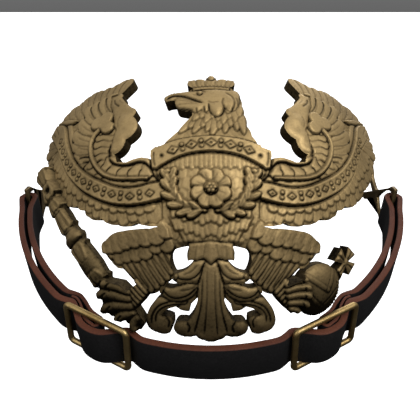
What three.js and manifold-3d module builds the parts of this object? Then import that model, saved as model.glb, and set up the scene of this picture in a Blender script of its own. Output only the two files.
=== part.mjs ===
// Helmet front plate with chin strap: a struck brass eagle plate bent to the front of a domed
// helmet, and a black leather chin strap with two brass slides and two brass hangers.
// Millimetres, +Z up, -Y to the front. The origin is where the plate pins on the helmet.
import * as THREE from 'three';
import { mergeVertices } from 'three/addons/utils/BufferGeometryUtils.js';
import Module from 'manifold-3d';

const wasm = await Module();
wasm.setup();

// ---------------------------------------------------------------- driving dimensions

// The dome that the rim of the plate lies on: half width, half length, height above the
// helmet's edge, and how square its sides are (2 is a plain ellipsoid).
const DOME = { side: 93, front: 99, top: 97, power: 2.2 };
// The flat pattern is laid over the dome like a map, from a middle that looks 30 degrees up.
const PATTERN = { radius: 96, tilt: 30 };
// Forms laid on top of others reach down to root, a little below the rim's height.
const PLATE = { depth: 3.5, pinUp: 4, longestEdge: 12, root: -1 };
const STUD = { radius: 2, length: 8, out: 46, up: 30, sides: 12 };

// The strap runs round an oval, and its top edge lies in a plane that rises to the back. It is
// a little tighter along its lower edge, which taper gives as a share of the oval.
// fold is where it turns back round the hanger's bar, measured round the oval from the front.
const STRAP = {
  side: 98.4, front: 104.6, centre: 0.8, width: 15.4, thick: 2.7, gap: 1.4, slope: 0.26,
  level: 27.4, taper: 0.016, fold: 145.5, turn: 3.3, step: 9,
};
// middle is the slide's middle, measured round the oval; inset is how far it lies inside it.
// lean is how much of the strap's slope it follows.
const SLIDE = { length: 32.6, height: 22.2, wire: 2.6, bar: 0.9, corner: 2.2, middle: 48.5,
  inset: 1.2, barInset: 0.75, lean: 0.75 };
const HANGER = { thick: 2, bar: 2, half: 12.2, window: 9.6, neck: 16.5, reach: 34,
  ring: 12, hole: 8.8, lift: 0.2, turnIn: 0.21 };

const BRASS = { color: 0x8a744c, roughness: 0.45, metalness: 0.9 };
const WIRE_BRASS = { color: 0x8f7644, roughness: 0.38, metalness: 0.95 };
const LEATHER = { color: 0x161414, roughness: 0.6, metalness: 0 };

const rad = THREE.MathUtils.degToRad;

// ---------------------------------------------------------------- solids

function toManifold(geometry) {
  const bare = geometry.clone();
  bare.deleteAttribute('normal');
  bare.deleteAttribute('uv');
  const merged = mergeVertices(bare, 1e-4);
  return new wasm.Manifold(new wasm.Mesh({
    numProp: 3,
    vertProperties: new Float32Array(merged.attributes.position.array),
    triVerts: new Uint32Array(merged.index.array),
  }));
}

function toGeometry(solid) {
  const mesh = solid.getMesh();
  const geometry = new THREE.BufferGeometry();
  const points = new Float32Array(mesh.vertProperties);
  geometry.setAttribute('position', new THREE.BufferAttribute(points, 3));
  geometry.setIndex(new THREE.BufferAttribute(new Uint32Array(mesh.triVerts), 1));
  geometry.computeVertexNormals();
  return geometry;
}

const join = (solids) => solids.reduce((whole, solid) => whole.add(solid));

// ---------------------------------------------------------------- flat drawing

// An outline is a list of rows [out, up, arch]: a corner, and how far the stretch from it to
// the next corner arches to the left of the way it runs. side = -1 mirrors it.
function outline(rows, side = 1, step = 2.6) {
  const points = [];
  rows.forEach(([out, up, arch = 0], i) => {
    const [nextOut, nextUp] = rows[(i + 1) % rows.length];
    const across = nextOut - out;
    const along = nextUp - up;
    const length = Math.hypot(across, along);
    const parts = arch === 0 ? 1 : Math.max(2, Math.round((length + Math.abs(arch)) / step));
    for (let k = 0; k < parts; k++) {
      const t = k / parts;
      const lift = 4 * arch * t * (1 - t) / length;
      points.push(new THREE.Vector2(
        side * (out + across * t - along * lift),
        up + along * t + across * lift));
    }
  });
  return points;
}

function circle(out, up, radius, parts = 12) {
  const points = [];
  for (let k = 0; k < parts; k++) {
    const turn = 2 * Math.PI * k / parts;
    points.push(new THREE.Vector2(out + radius * Math.cos(turn), up + radius * Math.sin(turn)));
  }
  return points;
}

// A flat piece between two heights, the rim of the plate being height 0.
function slab(points, top, bottom = -PLATE.depth) {
  const shape = new THREE.Shape(points);
  const settings = { depth: top - bottom, bevelEnabled: false };
  return toManifold(new THREE.ExtrudeGeometry(shape, settings).translate(0, 0, bottom));
}

// A leaf or feather from root to tip, with a ridge along its middle and a rounded tip.
function feather(root, tip, width, ridge, foot = 0) {
  const along = new THREE.Vector2().subVectors(tip, root);
  const length = along.length();
  along.divideScalar(length);
  const across = new THREE.Vector2(-along.y, along.x);
  const spots = [[0, -0.4], [0.72, -0.5], [1, 0], [0.72, 0.5], [0, 0.4]];
  const rim = spots.map(([t, s]) => new THREE.Vector2()
    .copy(root).addScaledVector(along, t * length).addScaledVector(across, s * width));
  const back = new THREE.Vector2().copy(root);
  const crest = new THREE.Vector2().copy(root).addScaledVector(along, 0.78 * length);
  return ridged(rim, back, crest, ridge, foot);
}

// A closed roof over a ring of points: the ring at foot, two crest points at the ridge height.
function ridged(rim, back, crest, ridge, foot) {
  const base = PLATE.root - 0.2;
  const places = [];
  rim.forEach((p) => places.push(p.x, p.y, base));
  rim.forEach((p) => places.push(p.x, p.y, foot));
  places.push(back.x, back.y, base, back.x, back.y, ridge, crest.x, crest.y, ridge);
  const n = rim.length;
  const [low, high, peak] = [2 * n, 2 * n + 1, 2 * n + 2];
  const faces = [];
  for (let i = 0; i < n - 1; i++) {
    faces.push(i, i + 1, n + i + 1, i, n + i + 1, n + i);
    faces.push(low, i + 1, i);
  }
  for (let i = 1; i < n - 2; i++) {
    faces.push(n + i, n + i + 1, peak);
  }
  faces.push(n, n + 1, peak, n, peak, high);
  faces.push(2 * n - 2, 2 * n - 1, peak, 2 * n - 1, high, peak);
  faces.push(low, 0, n, low, n, high);
  faces.push(low, high, 2 * n - 1, low, 2 * n - 1, n - 1);
  const geometry = new THREE.BufferGeometry();
  geometry.setAttribute('position', new THREE.Float32BufferAttribute(places, 3));
  geometry.setIndex(faces);
  return toManifold(geometry);
}

const at = (out, up) => new THREE.Vector2(out, up);

// ---------------------------------------------------------------- the dome

function domePoint(u, v, height) {
  const turn = Math.hypot(u, v) / PATTERN.radius;
  const heading = Math.hypot(u, v) < 1e-9 ? [0, 0] : [u / Math.hypot(u, v), v / Math.hypot(u, v)];
  const tilt = rad(PATTERN.tilt);
  const ahead = new THREE.Vector3(0, -Math.cos(tilt), Math.sin(tilt));
  const above = new THREE.Vector3(0, Math.sin(tilt), Math.cos(tilt));
  const way = ahead.multiplyScalar(Math.cos(turn));
  way.x += Math.sin(turn) * heading[0];
  way.addScaledVector(above, Math.sin(turn) * heading[1]);
  const { side, front, top, power } = DOME;
  const flat = Math.hypot(way.x / side, way.y / front);
  const size = (flat ** power + Math.abs(way.z / top) ** power) ** (-1 / power);
  const point = way.clone().multiplyScalar(size);
  const level = flat * size;
  const normal = new THREE.Vector3(
    level ** (power - 2) * point.x / side ** 2,
    level ** (power - 2) * point.y / front ** 2,
    Math.sign(point.z) * Math.abs(point.z / top) ** (power - 1) / top).normalize();
  return { point: point.addScaledVector(normal, height), normal };
}

function bendToDome(geometry) {
  const spots = geometry.attributes.position;
  for (let i = 0; i < spots.count; i++) {
    const { point } = domePoint(spots.getX(i), spots.getY(i), spots.getZ(i));
    spots.setXYZ(i, point.x, point.y, point.z);
  }
  geometry.computeVertexNormals();
  return geometry;
}

// ---------------------------------------------------------------- eagle plate: outlines

// Wing: up the inner edge from the shoulder, over the tip, and back along the feather ends.
const WING = [
  [6, 6], [12, 18], [20.5, 18.1], [24.5, 18.9, 0.3], [30.5, 17.6, 0], [34.6, 18.2, 0.4],
  [36.3, 21.6, 1.2], [31.9, 27.3, 3.4], [30.3, 37.6, 1.6], [31.3, 42.2, -0.3],
  [37.2, 49.2, 0.8], [38.6, 52.6, 0], [34.8, 58.2, 0.2], [34.2, 61.2, 0.5],
  [37.8, 62.4, 0.3], [44.8, 59.4, 0.6], [49.8, 59.2, 0], [51.4, 60, 0.9],
  [60.3, 58.6, 0.6], [64.8, 55.8, 0], [66, 56.4, 0.9], [73.6, 54.6, 0.9],
  [78.7, 49.6, 0], [79.4, 48.6, 1.1], [83, 42.6, 1.3], [82.6, 36.6, 0],
  [83.2, 35.6, 1.2], [81.4, 29, 0], [80.6, 27, 1.2], [77, 21.2, 0.4],
  [74.8, 18.6, 1.1], [69.2, 12.8, 0.2], [67.6, 11.2, 1.1], [61.4, 5.2, 0.2],
  [59.6, 4, 0.9], [53.6, 3.2, 0.8], [49.6, 1.2, 0.8], [47.6, -1.6, 1],
  [41, -2.4, 0.9], [34.2, -5, 1], [26.6, -4.4, 0.7], [16.6, -5.4, 0],
  [6, -4],
];

// Breast and belly, down to the hanging cloth below the belly. Half, mirrored.
const BODY = [
  [0, 24], [12, 23.5], [20.9, 20.8, 0.2], [21.4, 15.6], [21, -4], [16.6, -5.5], [13, -12],
  [7.4, -12.6, 0.5], [7.9, -17.5, -0.3], [5.4, -17.3], [2.6, -16.4, 0], [0, -18.7],
];

// Thigh and shin, from the slot under the wing round the knee to the inner openings.
const THIGH = [
  [8, -3], [16.8, -5.5], [22, -6.6, 0.3], [31.6, -7.2, 0.8], [38.4, -10.4, 0.9],
  [40.4, -13.8, 0.3], [37.3, -18.2], [34.2, -20.7], [32, -20.9], [26.9, -26.2],
  [31.2, -29.6], [34, -33], [31, -39], [28.4, -36.6, 0.5], [22.9, -30.3, 0.3],
  [19, -29.2], [16.3, -26.6], [13.2, -23.8], [12.7, -21.8, -0.3], [14.1, -16.9, -0.8],
  [11.4, -13.3], [7.2, -12.4],
];

// Tail: three leaves on each side of a fluted stem that opens to a fan. Half, mirrored.
const UPPER_LEAF = [
  [0, -17], [5.9, -17.5, -1.1], [12.9, -21.9, 0], [14.4, -23.6], [11, -25.9, -0.6],
  [5.5, -25.4], [0, -24],
];
const MIDDLE_LEAF = [
  [0, -23], [5, -24.8], [11, -26.3, -0.6], [16.2, -27], [17.6, -26], [18.4, -28.6, 1.3],
  [11.6, -32.2, 0.8], [5.6, -29], [0, -28],
];
const LOWER_LEAF = [
  [0, -26], [5, -28.4], [9.6, -30.6], [14, -33.8, 0], [11.2, -35.8, 0.2], [7.8, -36.3],
  [7.4, -33.7], [4.7, -30.8], [0, -30],
];
const OUTER_SCROLL = [
  [8, -31], [19, -31.2, 1], [24.6, -40.6, 1.5], [20.4, -45.8, 0.7], [15.4, -45.4, 0.6],
  [14.2, -39.2, 0.3], [18.4, -38.1, -0.6], [13.6, -34.9], [9, -33],
];
const FAN = [
  [0, -17], [2, -18], [4.2, -26], [4.7, -31, -0.9], [8.7, -40.3, 0], [9.3, -40],
  [12, -40.1, 1.5], [12.8, -45.6, 1], [5.6, -46.1, 0.4], [2.4, -48.2, 0.3], [0, -48.8],
];

// Head, looking to the wearer's right, with its open beak. Not mirrored; it runs clockwise.
const HEAD = [
  [-21.4, 20.6], [-16.4, 24.2], [-11.4, 29], [-6.8, 35], [-7, 37.1, 0.2], [-12, 38.3, 0.3],
  [-13.4, 41, 0], [-13.8, 42.6, -0.2], [-17.2, 42, 0.2], [-18.2, 44.2, 0.5],
  [-13.4, 46.8, 0.2], [-7, 48], [-5, 50], [5, 50], [9.6, 47.6, 0.2], [11.4, 43.6, 0.3],
  [11.6, 39.6, 0.4], [12.3, 36, 0.5], [13, 31, 0.4], [14.6, 26.6, 0.3], [17.4, 21.8],
  [21, 19.6], [10, 16], [-10, 16],
];

// Crown: base band, flaring body and knob. Half, mirrored.
const CROWN = [
  [0, 47.4], [6.6, 47.4], [7.3, 49, -0.3], [9.5, 51.6, 0.3], [9.2, 53.2, 0.4],
  [6.6, 54, 0.1], [2.2, 53.8], [1.9, 55.4, 0.3], [0, 55.9],
];

// Sceptre: distance from its head, and half width there.
const SCEPTRE = {
  head: at(-79.4, 22.2), foot: at(-28.8, -44.6), lean: 2, flatness: 0.72, height: 1.8,
  rows: [
    [0, 4.2], [2.5, 5.2], [9, 4], [15, 5.2], [18, 5], [20, 3.9], [25, 4.7], [30, 3.6],
    [33, 4.4], [36, 3.7], [40, 5.3], [41.5, 4.2], [48, 5.4], [55, 5.5], [61, 4.3],
    [63, 3.3], [66, 4], [70, 3.4], [80, 3.4], [84.4, 1.8],
  ],
};
const ORB = { middle: at(42.6, -30.4), radius: 10.9, height: 5.4 };
// The cross stands on its third arm, the stem, which is longer than the others.
const CROSS = { middle: at(55.2, -19.6), arm: 5.8, stem: 8.8, tip: 3.1, waist: 1.1, turn: 55 };

// Side ribbon that lies along the wing: middle line and half width, from the breast outward.
const RIBBON = {
  line: [[14, 5.9], [25.5, 5], [36.6, 7.5], [48.6, 14.6], [60.2, 26.2], [67.6, 34.6],
    [74, 42.2]],
  half: 3.1, rise: 1.5,
};
const ARCH = [[17.8, 14], [21.2, 15], [20.8, 19.8, -4.9], [-20.8, 19.8], [-21.2, 15],
  [-17.8, 14, 4.9]];
const STEM_LINE = [[43.4, 34.4], [47.2, 30.4], [48.2, 25.6], [45.4, 19], [38.4, 13.6],
  [30, 11.4], [22, 12.6]];
const INNER_LINE = [[31, 24.6], [37.4, 24], [38.8, 20.6], [35.6, 17.2], [28, 16.2], [22, 16.8]];
const TREFOIL = { lobes: [[42, 38.6], [47, 37.4], [40.6, 33.8]], radius: 3 };

// ---------------------------------------------------------------- eagle plate: relief

function band(line, half, side, parts) {
  const points = line.map(([out, up]) => new THREE.Vector3(side * out, up, 0));
  const curve = new THREE.CatmullRomCurve3(points);
  const left = [];
  const right = [];
  for (let k = 0; k <= parts; k++) {
    const spot = curve.getPoint(k / parts);
    const run = curve.getTangent(k / parts);
    left.push(at(spot.x - run.y * half, spot.y + run.x * half));
    right.unshift(at(spot.x + run.y * half, spot.y - run.x * half));
  }
  return left.concat(right);
}

// A fan of feathers whose roots lie along one line and whose tips lie along another.
function featherFan(roots, tips, count, width, ridge, side) {
  const spread = (line) => new THREE.SplineCurve(line.map(([out, up]) => at(side * out, up)));
  const from = spread(roots);
  const to = spread(tips);
  const feathers = [];
  for (let k = 0; k < count; k++) {
    const t = (k + 0.5) / count;
    feathers.push(feather(from.getPoint(t), to.getPoint(t), width, ridge));
  }
  return feathers;
}

// Rows of feathers on a wing: where the roots lie, where the tips lie, how many, how wide.
const WING_ROWS = [
  { roots: [[36, 11.6], [47, 15.4], [49.6, 24], [48.6, 32], [44, 41]],
    tips: [[37, 9.4], [49, 17.4], [56.4, 27], [57.4, 36], [47, 47]], count: 12, width: 3.2 },
  { roots: [[44, 42], [50, 42], [55, 40]],
    tips: [[38, 59], [53, 57.4], [67, 52]], count: 6, width: 4 },
  { roots: [[56, 39], [61, 40], [66, 43]],
    tips: [[69, 52.6], [75, 49.6], [79, 45]], count: 3, width: 4 },
  { roots: [[22, 1.6], [38, 3.4], [53, 11.4], [66, 24], [77, 37]],
    tips: [[21, -4], [38.5, -2.6], [57.6, 5], [74.6, 20], [81, 37]], count: 13, width: 5 },
  { roots: [[44.6, 31], [45.6, 26], [43, 20.4], [37, 16]],
    tips: [[39.6, 30.4], [39.8, 26], [39.4, 22.6], [35.6, 18.6]], count: 5, width: 2.8 },
];

const THIGH_ROWS = [
  { roots: [[14, -4.6], [26, -7.4], [37.4, -10.6]],
    tips: [[15.6, -10.6], [26.6, -13], [35.4, -15.4]], count: 5, width: 5 },
  { roots: [[12.4, -9], [23, -12.4], [33.6, -15]],
    tips: [[13, -14.6], [23, -17.6], [31.4, -19.8]], count: 4, width: 5 },
  { roots: [[15.4, -14.6], [23, -17.6], [31, -18.6]],
    tips: [[14.6, -23.6], [20, -25.4], [26.6, -25.4]], count: 5, width: 3 },
];

const BELLY_ROWS = [
  { roots: [[-13, 0.8], [0, -1], [13, 0.8]],
    tips: [[-15, -3.6], [0, -5.6], [15, -3.6]], count: 6, width: 5.2 },
  { roots: [[-10, -3.4], [0, -5], [10, -3.4]],
    tips: [[-12, -8.6], [0, -10.4], [12, -8.6]], count: 5, width: 5 },
];

const NECK_ROW = {
  roots: [[-10.4, 30.4], [-4, 35], [3, 35.4], [10, 34]],
  tips: [[-16, 25], [-6, 27.6], [4, 28], [14.4, 26]], count: 7, width: 3.8,
};

function wingPieces(side) {
  const pieces = [slab(outline(WING, side), 0)];
  WING_ROWS.forEach(({ roots, tips, count, width }) => {
    pieces.push(...featherFan(roots, tips, count, width, 0.9, side));
  });
  pieces.push(slab(band(RIBBON.line, RIBBON.half, side, 12), RIBBON.rise, PLATE.root));
  pieces.push(slab(band(STEM_LINE, 0.8, side, 9), 1.5, PLATE.root));
  pieces.push(slab(band(INNER_LINE, 1.6, side, 7), 1.4, PLATE.root));
  TREFOIL.lobes.forEach(([out, up]) => {
    pieces.push(slab(circle(side * out, up, TREFOIL.radius, 8), 1.6, PLATE.root));
  });
  return pieces;
}

function bodyPieces() {
  const pieces = [];
  [-1, 1].forEach((side) => pieces.push(slab(outline(BODY, side), 0.9)));
  BELLY_ROWS.forEach(({ roots, tips, count, width }) => {
    pieces.push(...featherFan(roots, tips, count, width, 2, 1));
  });
  pieces.push(slab(outline(ARCH), 2.2, PLATE.root));
  const cloth = [[-7.6, -11.6], [7.6, -11.6], [7.9, -17.4, -0.3], [5.4, -17.3], [2.6, -16.4, 0],
    [0, -18.6], [-2.6, -16.4], [-5.4, -17.3, -0.3], [-7.9, -17.4]];
  pieces.push(slab(outline(cloth), 1.9, PLATE.root));
  return pieces;
}

// Breast ornament: a rosette between two sprays of laurel.
function ornamentPieces() {
  const [rosette, petals, leaves] = [at(0, 6.6), 8, 4];
  const pieces = [slab(circle(rosette.x, rosette.y, 2, 8), 3.2, PLATE.root)];
  for (let k = 0; k < petals; k++) {
    const turn = 2 * Math.PI * k / petals;
    const tip = at(rosette.x + 6 * Math.cos(turn), rosette.y + 6 * Math.sin(turn));
    pieces.push(feather(rosette, tip, 3.6, 2.7, 1.6));
  }
  [-1, 1].forEach((side) => {
    const stalk = [[2, -0.4], [8.6, 0.4], [13.6, 5], [14.6, 12]];
    pieces.push(slab(band(stalk, 0.5, side, 6), 1.9, PLATE.root));
    const curve = new THREE.SplineCurve(stalk.map(([out, up]) => at(side * out, up)));
    for (let k = 0; k < leaves; k++) {
      const t = (k + 0.7) / leaves;
      const root = curve.getPoint(Math.min(t, 1));
      const run = curve.getTangent(Math.min(t, 1));
      [-1, 1].forEach((hand) => {
        const tip = at(root.x + 3.6 * run.x - hand * 2.9 * run.y,
          root.y + 3.6 * run.y + hand * 2.9 * run.x);
        pieces.push(feather(root, tip, 2.5, 2.6, 1.5));
      });
    }
  });
  return pieces;
}

function legPieces(side) {
  const pieces = [slab(outline(THIGH, side), 0.4)];
  THIGH_ROWS.forEach(({ roots, tips, count, width }) => {
    pieces.push(...featherFan(roots, tips, count, width, 1.6, side));
  });
  for (let k = 0; k < 5; k++) {
    const middle = at(side * (27 + 1.5 * k), -29 - 1.4 * k);
    pieces.push(slab(circle(middle.x, middle.y, 2.4, 8), 1.3, PLATE.root));
  }
  return pieces;
}

// Each foot: its outline, and its toes as root, tip and width. The wearer's right foot, on the
// side of -1, holds the sceptre, and the other one holds the orb.
const FEET = [
  { side: -1,
    foot: [[31, -29.4], [33.7, -26.8], [39.8, -25.3, 0.6], [43.4, -31], [43.1, -36.8, 0.3],
      [39.4, -40.8], [35.2, -40.4], [30.6, -44.3], [26.9, -45], [25.2, -42], [28.4, -36.5]],
    toes: [[[33, -30], [40.6, -27.6], 5], [[33.6, -33], [42.4, -32.4], 5.2],
      [[32.6, -36], [40.8, -37.6], 5], [[29.6, -38], [33.4, -42], 4.4]] },
  { side: 1,
    foot: [[28, -27], [33, -24.6], [36, -29], [34.6, -36], [31.6, -38.2], [27, -34.6]],
    toes: [[[29, -27.4], [35.6, -25.4], 3.4], [[29.6, -30.4], [36.8, -30], 3.6],
      [[30, -33.6], [36.4, -34.6], 3.4]] },
];

function footPieces() {
  return FEET.flatMap(({ side, foot, toes }) => [
    slab(outline(foot, side), 1.6),
    ...toes.map(([root, tip, width]) => feather(
      at(side * root[0], root[1]), at(side * tip[0], tip[1]), width, 3.8, 2.4)),
  ]);
}

function tailPieces() {
  const pieces = [];
  [-1, 1].forEach((side) => {
    pieces.push(slab(outline(UPPER_LEAF, side), 1.1));
    pieces.push(slab(outline(MIDDLE_LEAF, side), 0.7));
    pieces.push(slab(outline(LOWER_LEAF, side), 0.2));
    pieces.push(slab(outline(OUTER_SCROLL, side), 0.2));
    pieces.push(slab(outline(FAN, side), 0.5));
    pieces.push(feather(at(side * 2.6, -20), at(side * 13, -24), 4.4, 1.9, 1.1));
    pieces.push(feather(at(side * 5, -26.4), at(side * 17, -29.6), 4, 1.5, 0.7));
    pieces.push(feather(at(side * 2.2, -24), at(side * 3.2, -45), 2.4, 1.3, 0.5));
    pieces.push(slab(circle(side * 18.4, -42.6, 3.2, 8), 1.2, PLATE.root));
    pieces.push(slab(circle(side * 10.4, -43.2, 2.5, 8), 1.2, PLATE.root));
  });
  return pieces;
}

function headPieces() {
  const pieces = [slab(outline(HEAD), 0.1)];
  const { roots, tips, count, width } = NECK_ROW;
  pieces.push(...featherFan(roots, tips, count, width, 1.7, 1));
  const skull = [[-9, 46.6], [0, 47.6], [9.4, 46, 1], [10, 38, 0.6], [4, 35.4, 0.6],
    [-3.4, 38.6], [-11.6, 43.4], [-16.6, 43.6, 0.4]];
  pieces.push(slab(outline(skull), 1.5, PLATE.root));
  pieces.push(feather(at(4.6, 42), at(1.6, 34.4), 6, 2.6, 1.5));
  pieces.push(slab(circle(-4.3, 45, 1, 8), 2.2, PLATE.root));
  return pieces;
}

function crownPieces() {
  const pieces = [];
  [-1, 1].forEach((side) => {
    pieces.push(slab(outline(CROWN, side), 0.2));
    [2.9, 6].forEach((out) => {
      pieces.push(feather(at(side * out * 0.8, 49.4), at(side * out * 1.2, 53), 2.6, 1.6, 0.6));
    });
  });
  pieces.push(feather(at(0, 49.4), at(0, 53.4), 2.8, 1.8, 0.6));
  const brow = [[-7, 47.2], [-6.9, 48.8, 0.5], [6.9, 48.8], [7, 47.2, -0.5]];
  pieces.push(slab(outline(brow), 1.4, PLATE.root));
  pieces.push(slab(circle(0, 54.4, 1.2, 8), 0.9, PLATE.root));
  return pieces;
}

// What lies in the feet is round, so it is turned, flattened and cut off at the plate's back.
function clipAtBack(solid) {
  const reach = 300;
  const box = new THREE.BoxGeometry(reach, reach, 40).translate(0, 0, 20 - PLATE.depth);
  return solid.intersect(toManifold(box));
}

function sceptrePieces() {
  const { head, foot, lean, flatness, height, rows } = SCEPTRE;
  const profile = [at(0, rows[0][0])];
  rows.forEach(([along, half]) => profile.push(at(half, along)));
  profile.push(at(0, rows[rows.length - 1][0]));
  const turned = new THREE.LatheGeometry(profile, 10);
  const run = new THREE.Vector2().subVectors(foot, head);
  turned.scale(1, 1, flatness);
  turned.rotateX(-rad(lean));
  turned.rotateZ(Math.atan2(run.y, run.x) - Math.PI / 2);
  turned.translate(head.x, head.y, height);
  return [clipAtBack(toManifold(turned))];
}

function orbPieces() {
  const { middle, radius, height } = ORB;
  const ball = new THREE.SphereGeometry(1, 18, 8);
  ball.rotateX(Math.PI / 2);
  ball.scale(radius, radius, height);
  ball.translate(middle.x, middle.y, PLATE.root);
  const pieces = [clipAtBack(toManifold(ball))];
  const { arm, stem, tip, waist, turn } = CROSS;
  const points = [];
  for (let k = 0; k < 4; k++) {
    const way = rad(turn + 90 * k);
    const length = k === 2 ? stem : arm;
    [[waist, -waist], [length, -tip], [length, tip]].forEach(([out, across]) => {
      points.push(at(
        CROSS.middle.x + out * Math.cos(way) - across * Math.sin(way),
        CROSS.middle.y + out * Math.sin(way) + across * Math.cos(way)));
    });
  }
  pieces.push(slab(points, 0.6));
  return pieces;
}

// ---------------------------------------------------------------- eagle plate

// Halves every edge longer than the limit, in both of its faces, so that the flat pattern can
// bend. An edge keeps one middle point, so the mesh stays closed.
function splitLongEdges(geometry, limit) {
  const points = Array.from(geometry.attributes.position.array);
  let faces = Array.from(geometry.index.array);
  const gap = (a, b) => Math.hypot(points[3 * a] - points[3 * b],
    points[3 * a + 1] - points[3 * b + 1]);
  for (let pass = 0; pass < 6; pass++) {
    const middles = new Map();
    const middle = (a, b) => {
      const key = a < b ? `${a}-${b}` : `${b}-${a}`;
      if (!middles.has(key)) {
        middles.set(key, points.length / 3);
        [0, 1, 2].forEach((k) => points.push((points[3 * a + k] + points[3 * b + k]) / 2));
      }
      return middles.get(key);
    };
    const next = [];
    for (let i = 0; i < faces.length; i += 3) {
      let corners = faces.slice(i, i + 3);
      const long = (k) => gap(corners[k], corners[(k + 1) % 3]);
      const first = [0, 1, 2].reduce((best, k) => (long(k) > long(best) ? k : best), 0);
      corners = [0, 1, 2].map((k) => corners[(first + k) % 3]);
      const [a, b, c] = corners;
      if (gap(a, b) <= limit) {
        next.push(a, b, c);
        continue;
      }
      const half = middle(a, b);
      [[a, half, c, a, c], [half, b, c, b, c]].forEach(([p, q, r, s, t]) => {
        if (gap(s, t) > limit) {
          const other = middle(s, t);
          next.push(...(s === p ? [p, q, other, q, r, other] : [p, q, other, p, other, r]));
        } else {
          next.push(p, q, r);
        }
      });
    }
    faces = next;
    if (middles.size === 0) {
      break;
    }
  }
  const split = new THREE.BufferGeometry();
  split.setAttribute('position', new THREE.Float32BufferAttribute(points, 3));
  split.setIndex(faces);
  return split;
}

function eaglePlate() {
  const pattern = join([
    ...wingPieces(-1), ...wingPieces(1), ...bodyPieces(), ...ornamentPieces(),
    ...legPieces(-1), ...legPieces(1), ...tailPieces(), ...headPieces(), ...crownPieces(),
    ...sceptrePieces(), ...orbPieces(), ...footPieces(),
  ]);
  const sheet = splitLongEdges(toGeometry(pattern), PLATE.longestEdge);
  const bent = toManifold(bendToDome(sheet));
  return toGeometry(bent.add(join([-1, 1].map(stud))));
}

// A plain pin soldered to the back of each wing, that goes through the helmet's shell.
function stud(side) {
  const { radius, length, out, up, sides } = STUD;
  const { point, normal } = domePoint(side * out, up, 1 - PLATE.depth);
  const pin = new THREE.CylinderGeometry(radius, radius, length + 1, sides);
  pin.translate(0, -(length + 1) / 2, 0);
  pin.applyQuaternion(new THREE.Quaternion().setFromUnitVectors(
    new THREE.Vector3(0, 1, 0), normal));
  pin.translate(point.x, point.y, point.z);
  return toManifold(pin);
}

// ---------------------------------------------------------------- chin strap

// A place on the strap's oval, seen from above: along is the way round from the front middle,
// off is how far outside the leather's outer face.
function ovalPoint(along, off) {
  const { side, front, centre } = STRAP;
  const steps = 200;
  let turn = 0;
  for (let k = 0; k < steps; k++) {
    turn += along / steps / Math.hypot(side * Math.cos(turn), front * Math.sin(turn));
  }
  const spot = at(side * Math.sin(turn), -front * Math.cos(turn));
  const outward = at(spot.x / side ** 2, spot.y / front ** 2).normalize();
  spot.y += centre;
  return spot.addScaledVector(outward, off);
}

// How the leather threads the slide: [distance behind the slide's middle, middle of the
// leather outside the oval, thickness].
const OVER_SLIDE = [
  [-22, -1.35, 2.7], [-18, -2.5, 2.7], [-14.9, -3.5, 2.7], [-10.5, -1.7, 2.7], [-5, 1.6, 2.7],
  [0, 2.4, 2.7], [5, 1.6, 2.7], [10.5, -1.7, 2.7], [14.9, -3.5, 2.7], [18, -2.5, 2.7],
  [22, -1.35, 2.7],
];
const UNDER_SLIDE = [
  [22, -5.6, 2.4], [18, -7, 1.9], [14.9, -7.7, 1.7], [10.5, -6.8, 1.6], [5, -4.8, 1.5],
  [0, -4.1, 1.5],
];
const FLAP = [[0, 0.1, 1.3], [5, -0.9, 1.2], [10.5, -4.4, 1], [14.9, -5.8, 1], [17.5, -5.3, 1]];

// One half of the leather, from the front middle to the end of its flap.
function strapHalf() {
  const { thick, gap, fold, turn, step } = STRAP;
  const { middle, inset, barInset, bar } = SLIDE;
  const [outer, inner] = [-thick / 2, -1.5 * thick - gap];
  const moved = (rows) => rows.map(([behind, off, deep]) => [middle + behind, off, deep]);
  const plain = (from, to, off) => {
    const parts = Math.round(Math.abs(to - from) / step);
    return Array.from({ length: parts }, (_, k) => [from + (to - from) * k / parts, off, thick]);
  };
  const arc = (along, off, radius, deep, parts, hand) => Array.from({ length: parts - 1 },
    (_, k) => {
      const angle = Math.PI * (k + 1) / parts;
      return [along + hand * radius * Math.sin(angle), off + hand * radius * Math.cos(angle),
        deep];
    });
  const centre = (outer + inner) / 2;
  return [
    ...plain(0, middle - 25, outer), ...moved(OVER_SLIDE), ...plain(middle + 28, fold - 5, outer),
    [fold, centre + turn, thick], ...arc(fold, centre, turn, thick, 7, 1),
    [fold, centre - turn, thick], ...plain(fold - 8, middle + 25, inner), ...moved(UNDER_SLIDE),
    ...arc(middle, -inset - barInset, bar + 1.5, 1.3, 6, -1), ...moved(FLAP),
  ];
}

function strapOutline() {
  const half = strapHalf();
  const mirrored = half.slice(1).reverse().map(([along, off, deep]) => [-along, off, deep]);
  const rows = mirrored.concat(half);
  const middle = rows.map(([along, off]) => ovalPoint(along, off));
  const outside = [];
  const inside = [];
  rows.forEach(([, , deep], i) => {
    const before = middle[Math.max(i - 1, 0)];
    const after = middle[Math.min(i + 1, rows.length - 1)];
    const run = new THREE.Vector2().subVectors(after, before).setLength(deep / 2);
    outside.push(at(middle[i].x + run.y, middle[i].y - run.x));
    inside.unshift(at(middle[i].x - run.y, middle[i].y + run.x));
  });
  return outside.concat(inside);
}

function chinStrap() {
  const settings = { depth: STRAP.width, bevelEnabled: false };
  const leather = new THREE.ExtrudeGeometry(new THREE.Shape(strapOutline()), settings);
  leather.translate(0, 0, -STRAP.width);
  const spots = leather.attributes.position;
  for (let i = 0; i < spots.count; i++) {
    const [x, y, z] = [spots.getX(i), spots.getY(i), spots.getZ(i)];
    const pinch = 1 + STRAP.taper * z / STRAP.width;
    spots.setXYZ(i, x * pinch, y * pinch, z + STRAP.slope * y + STRAP.level);
  }
  leather.computeVertexNormals();
  return leather;
}

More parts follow.
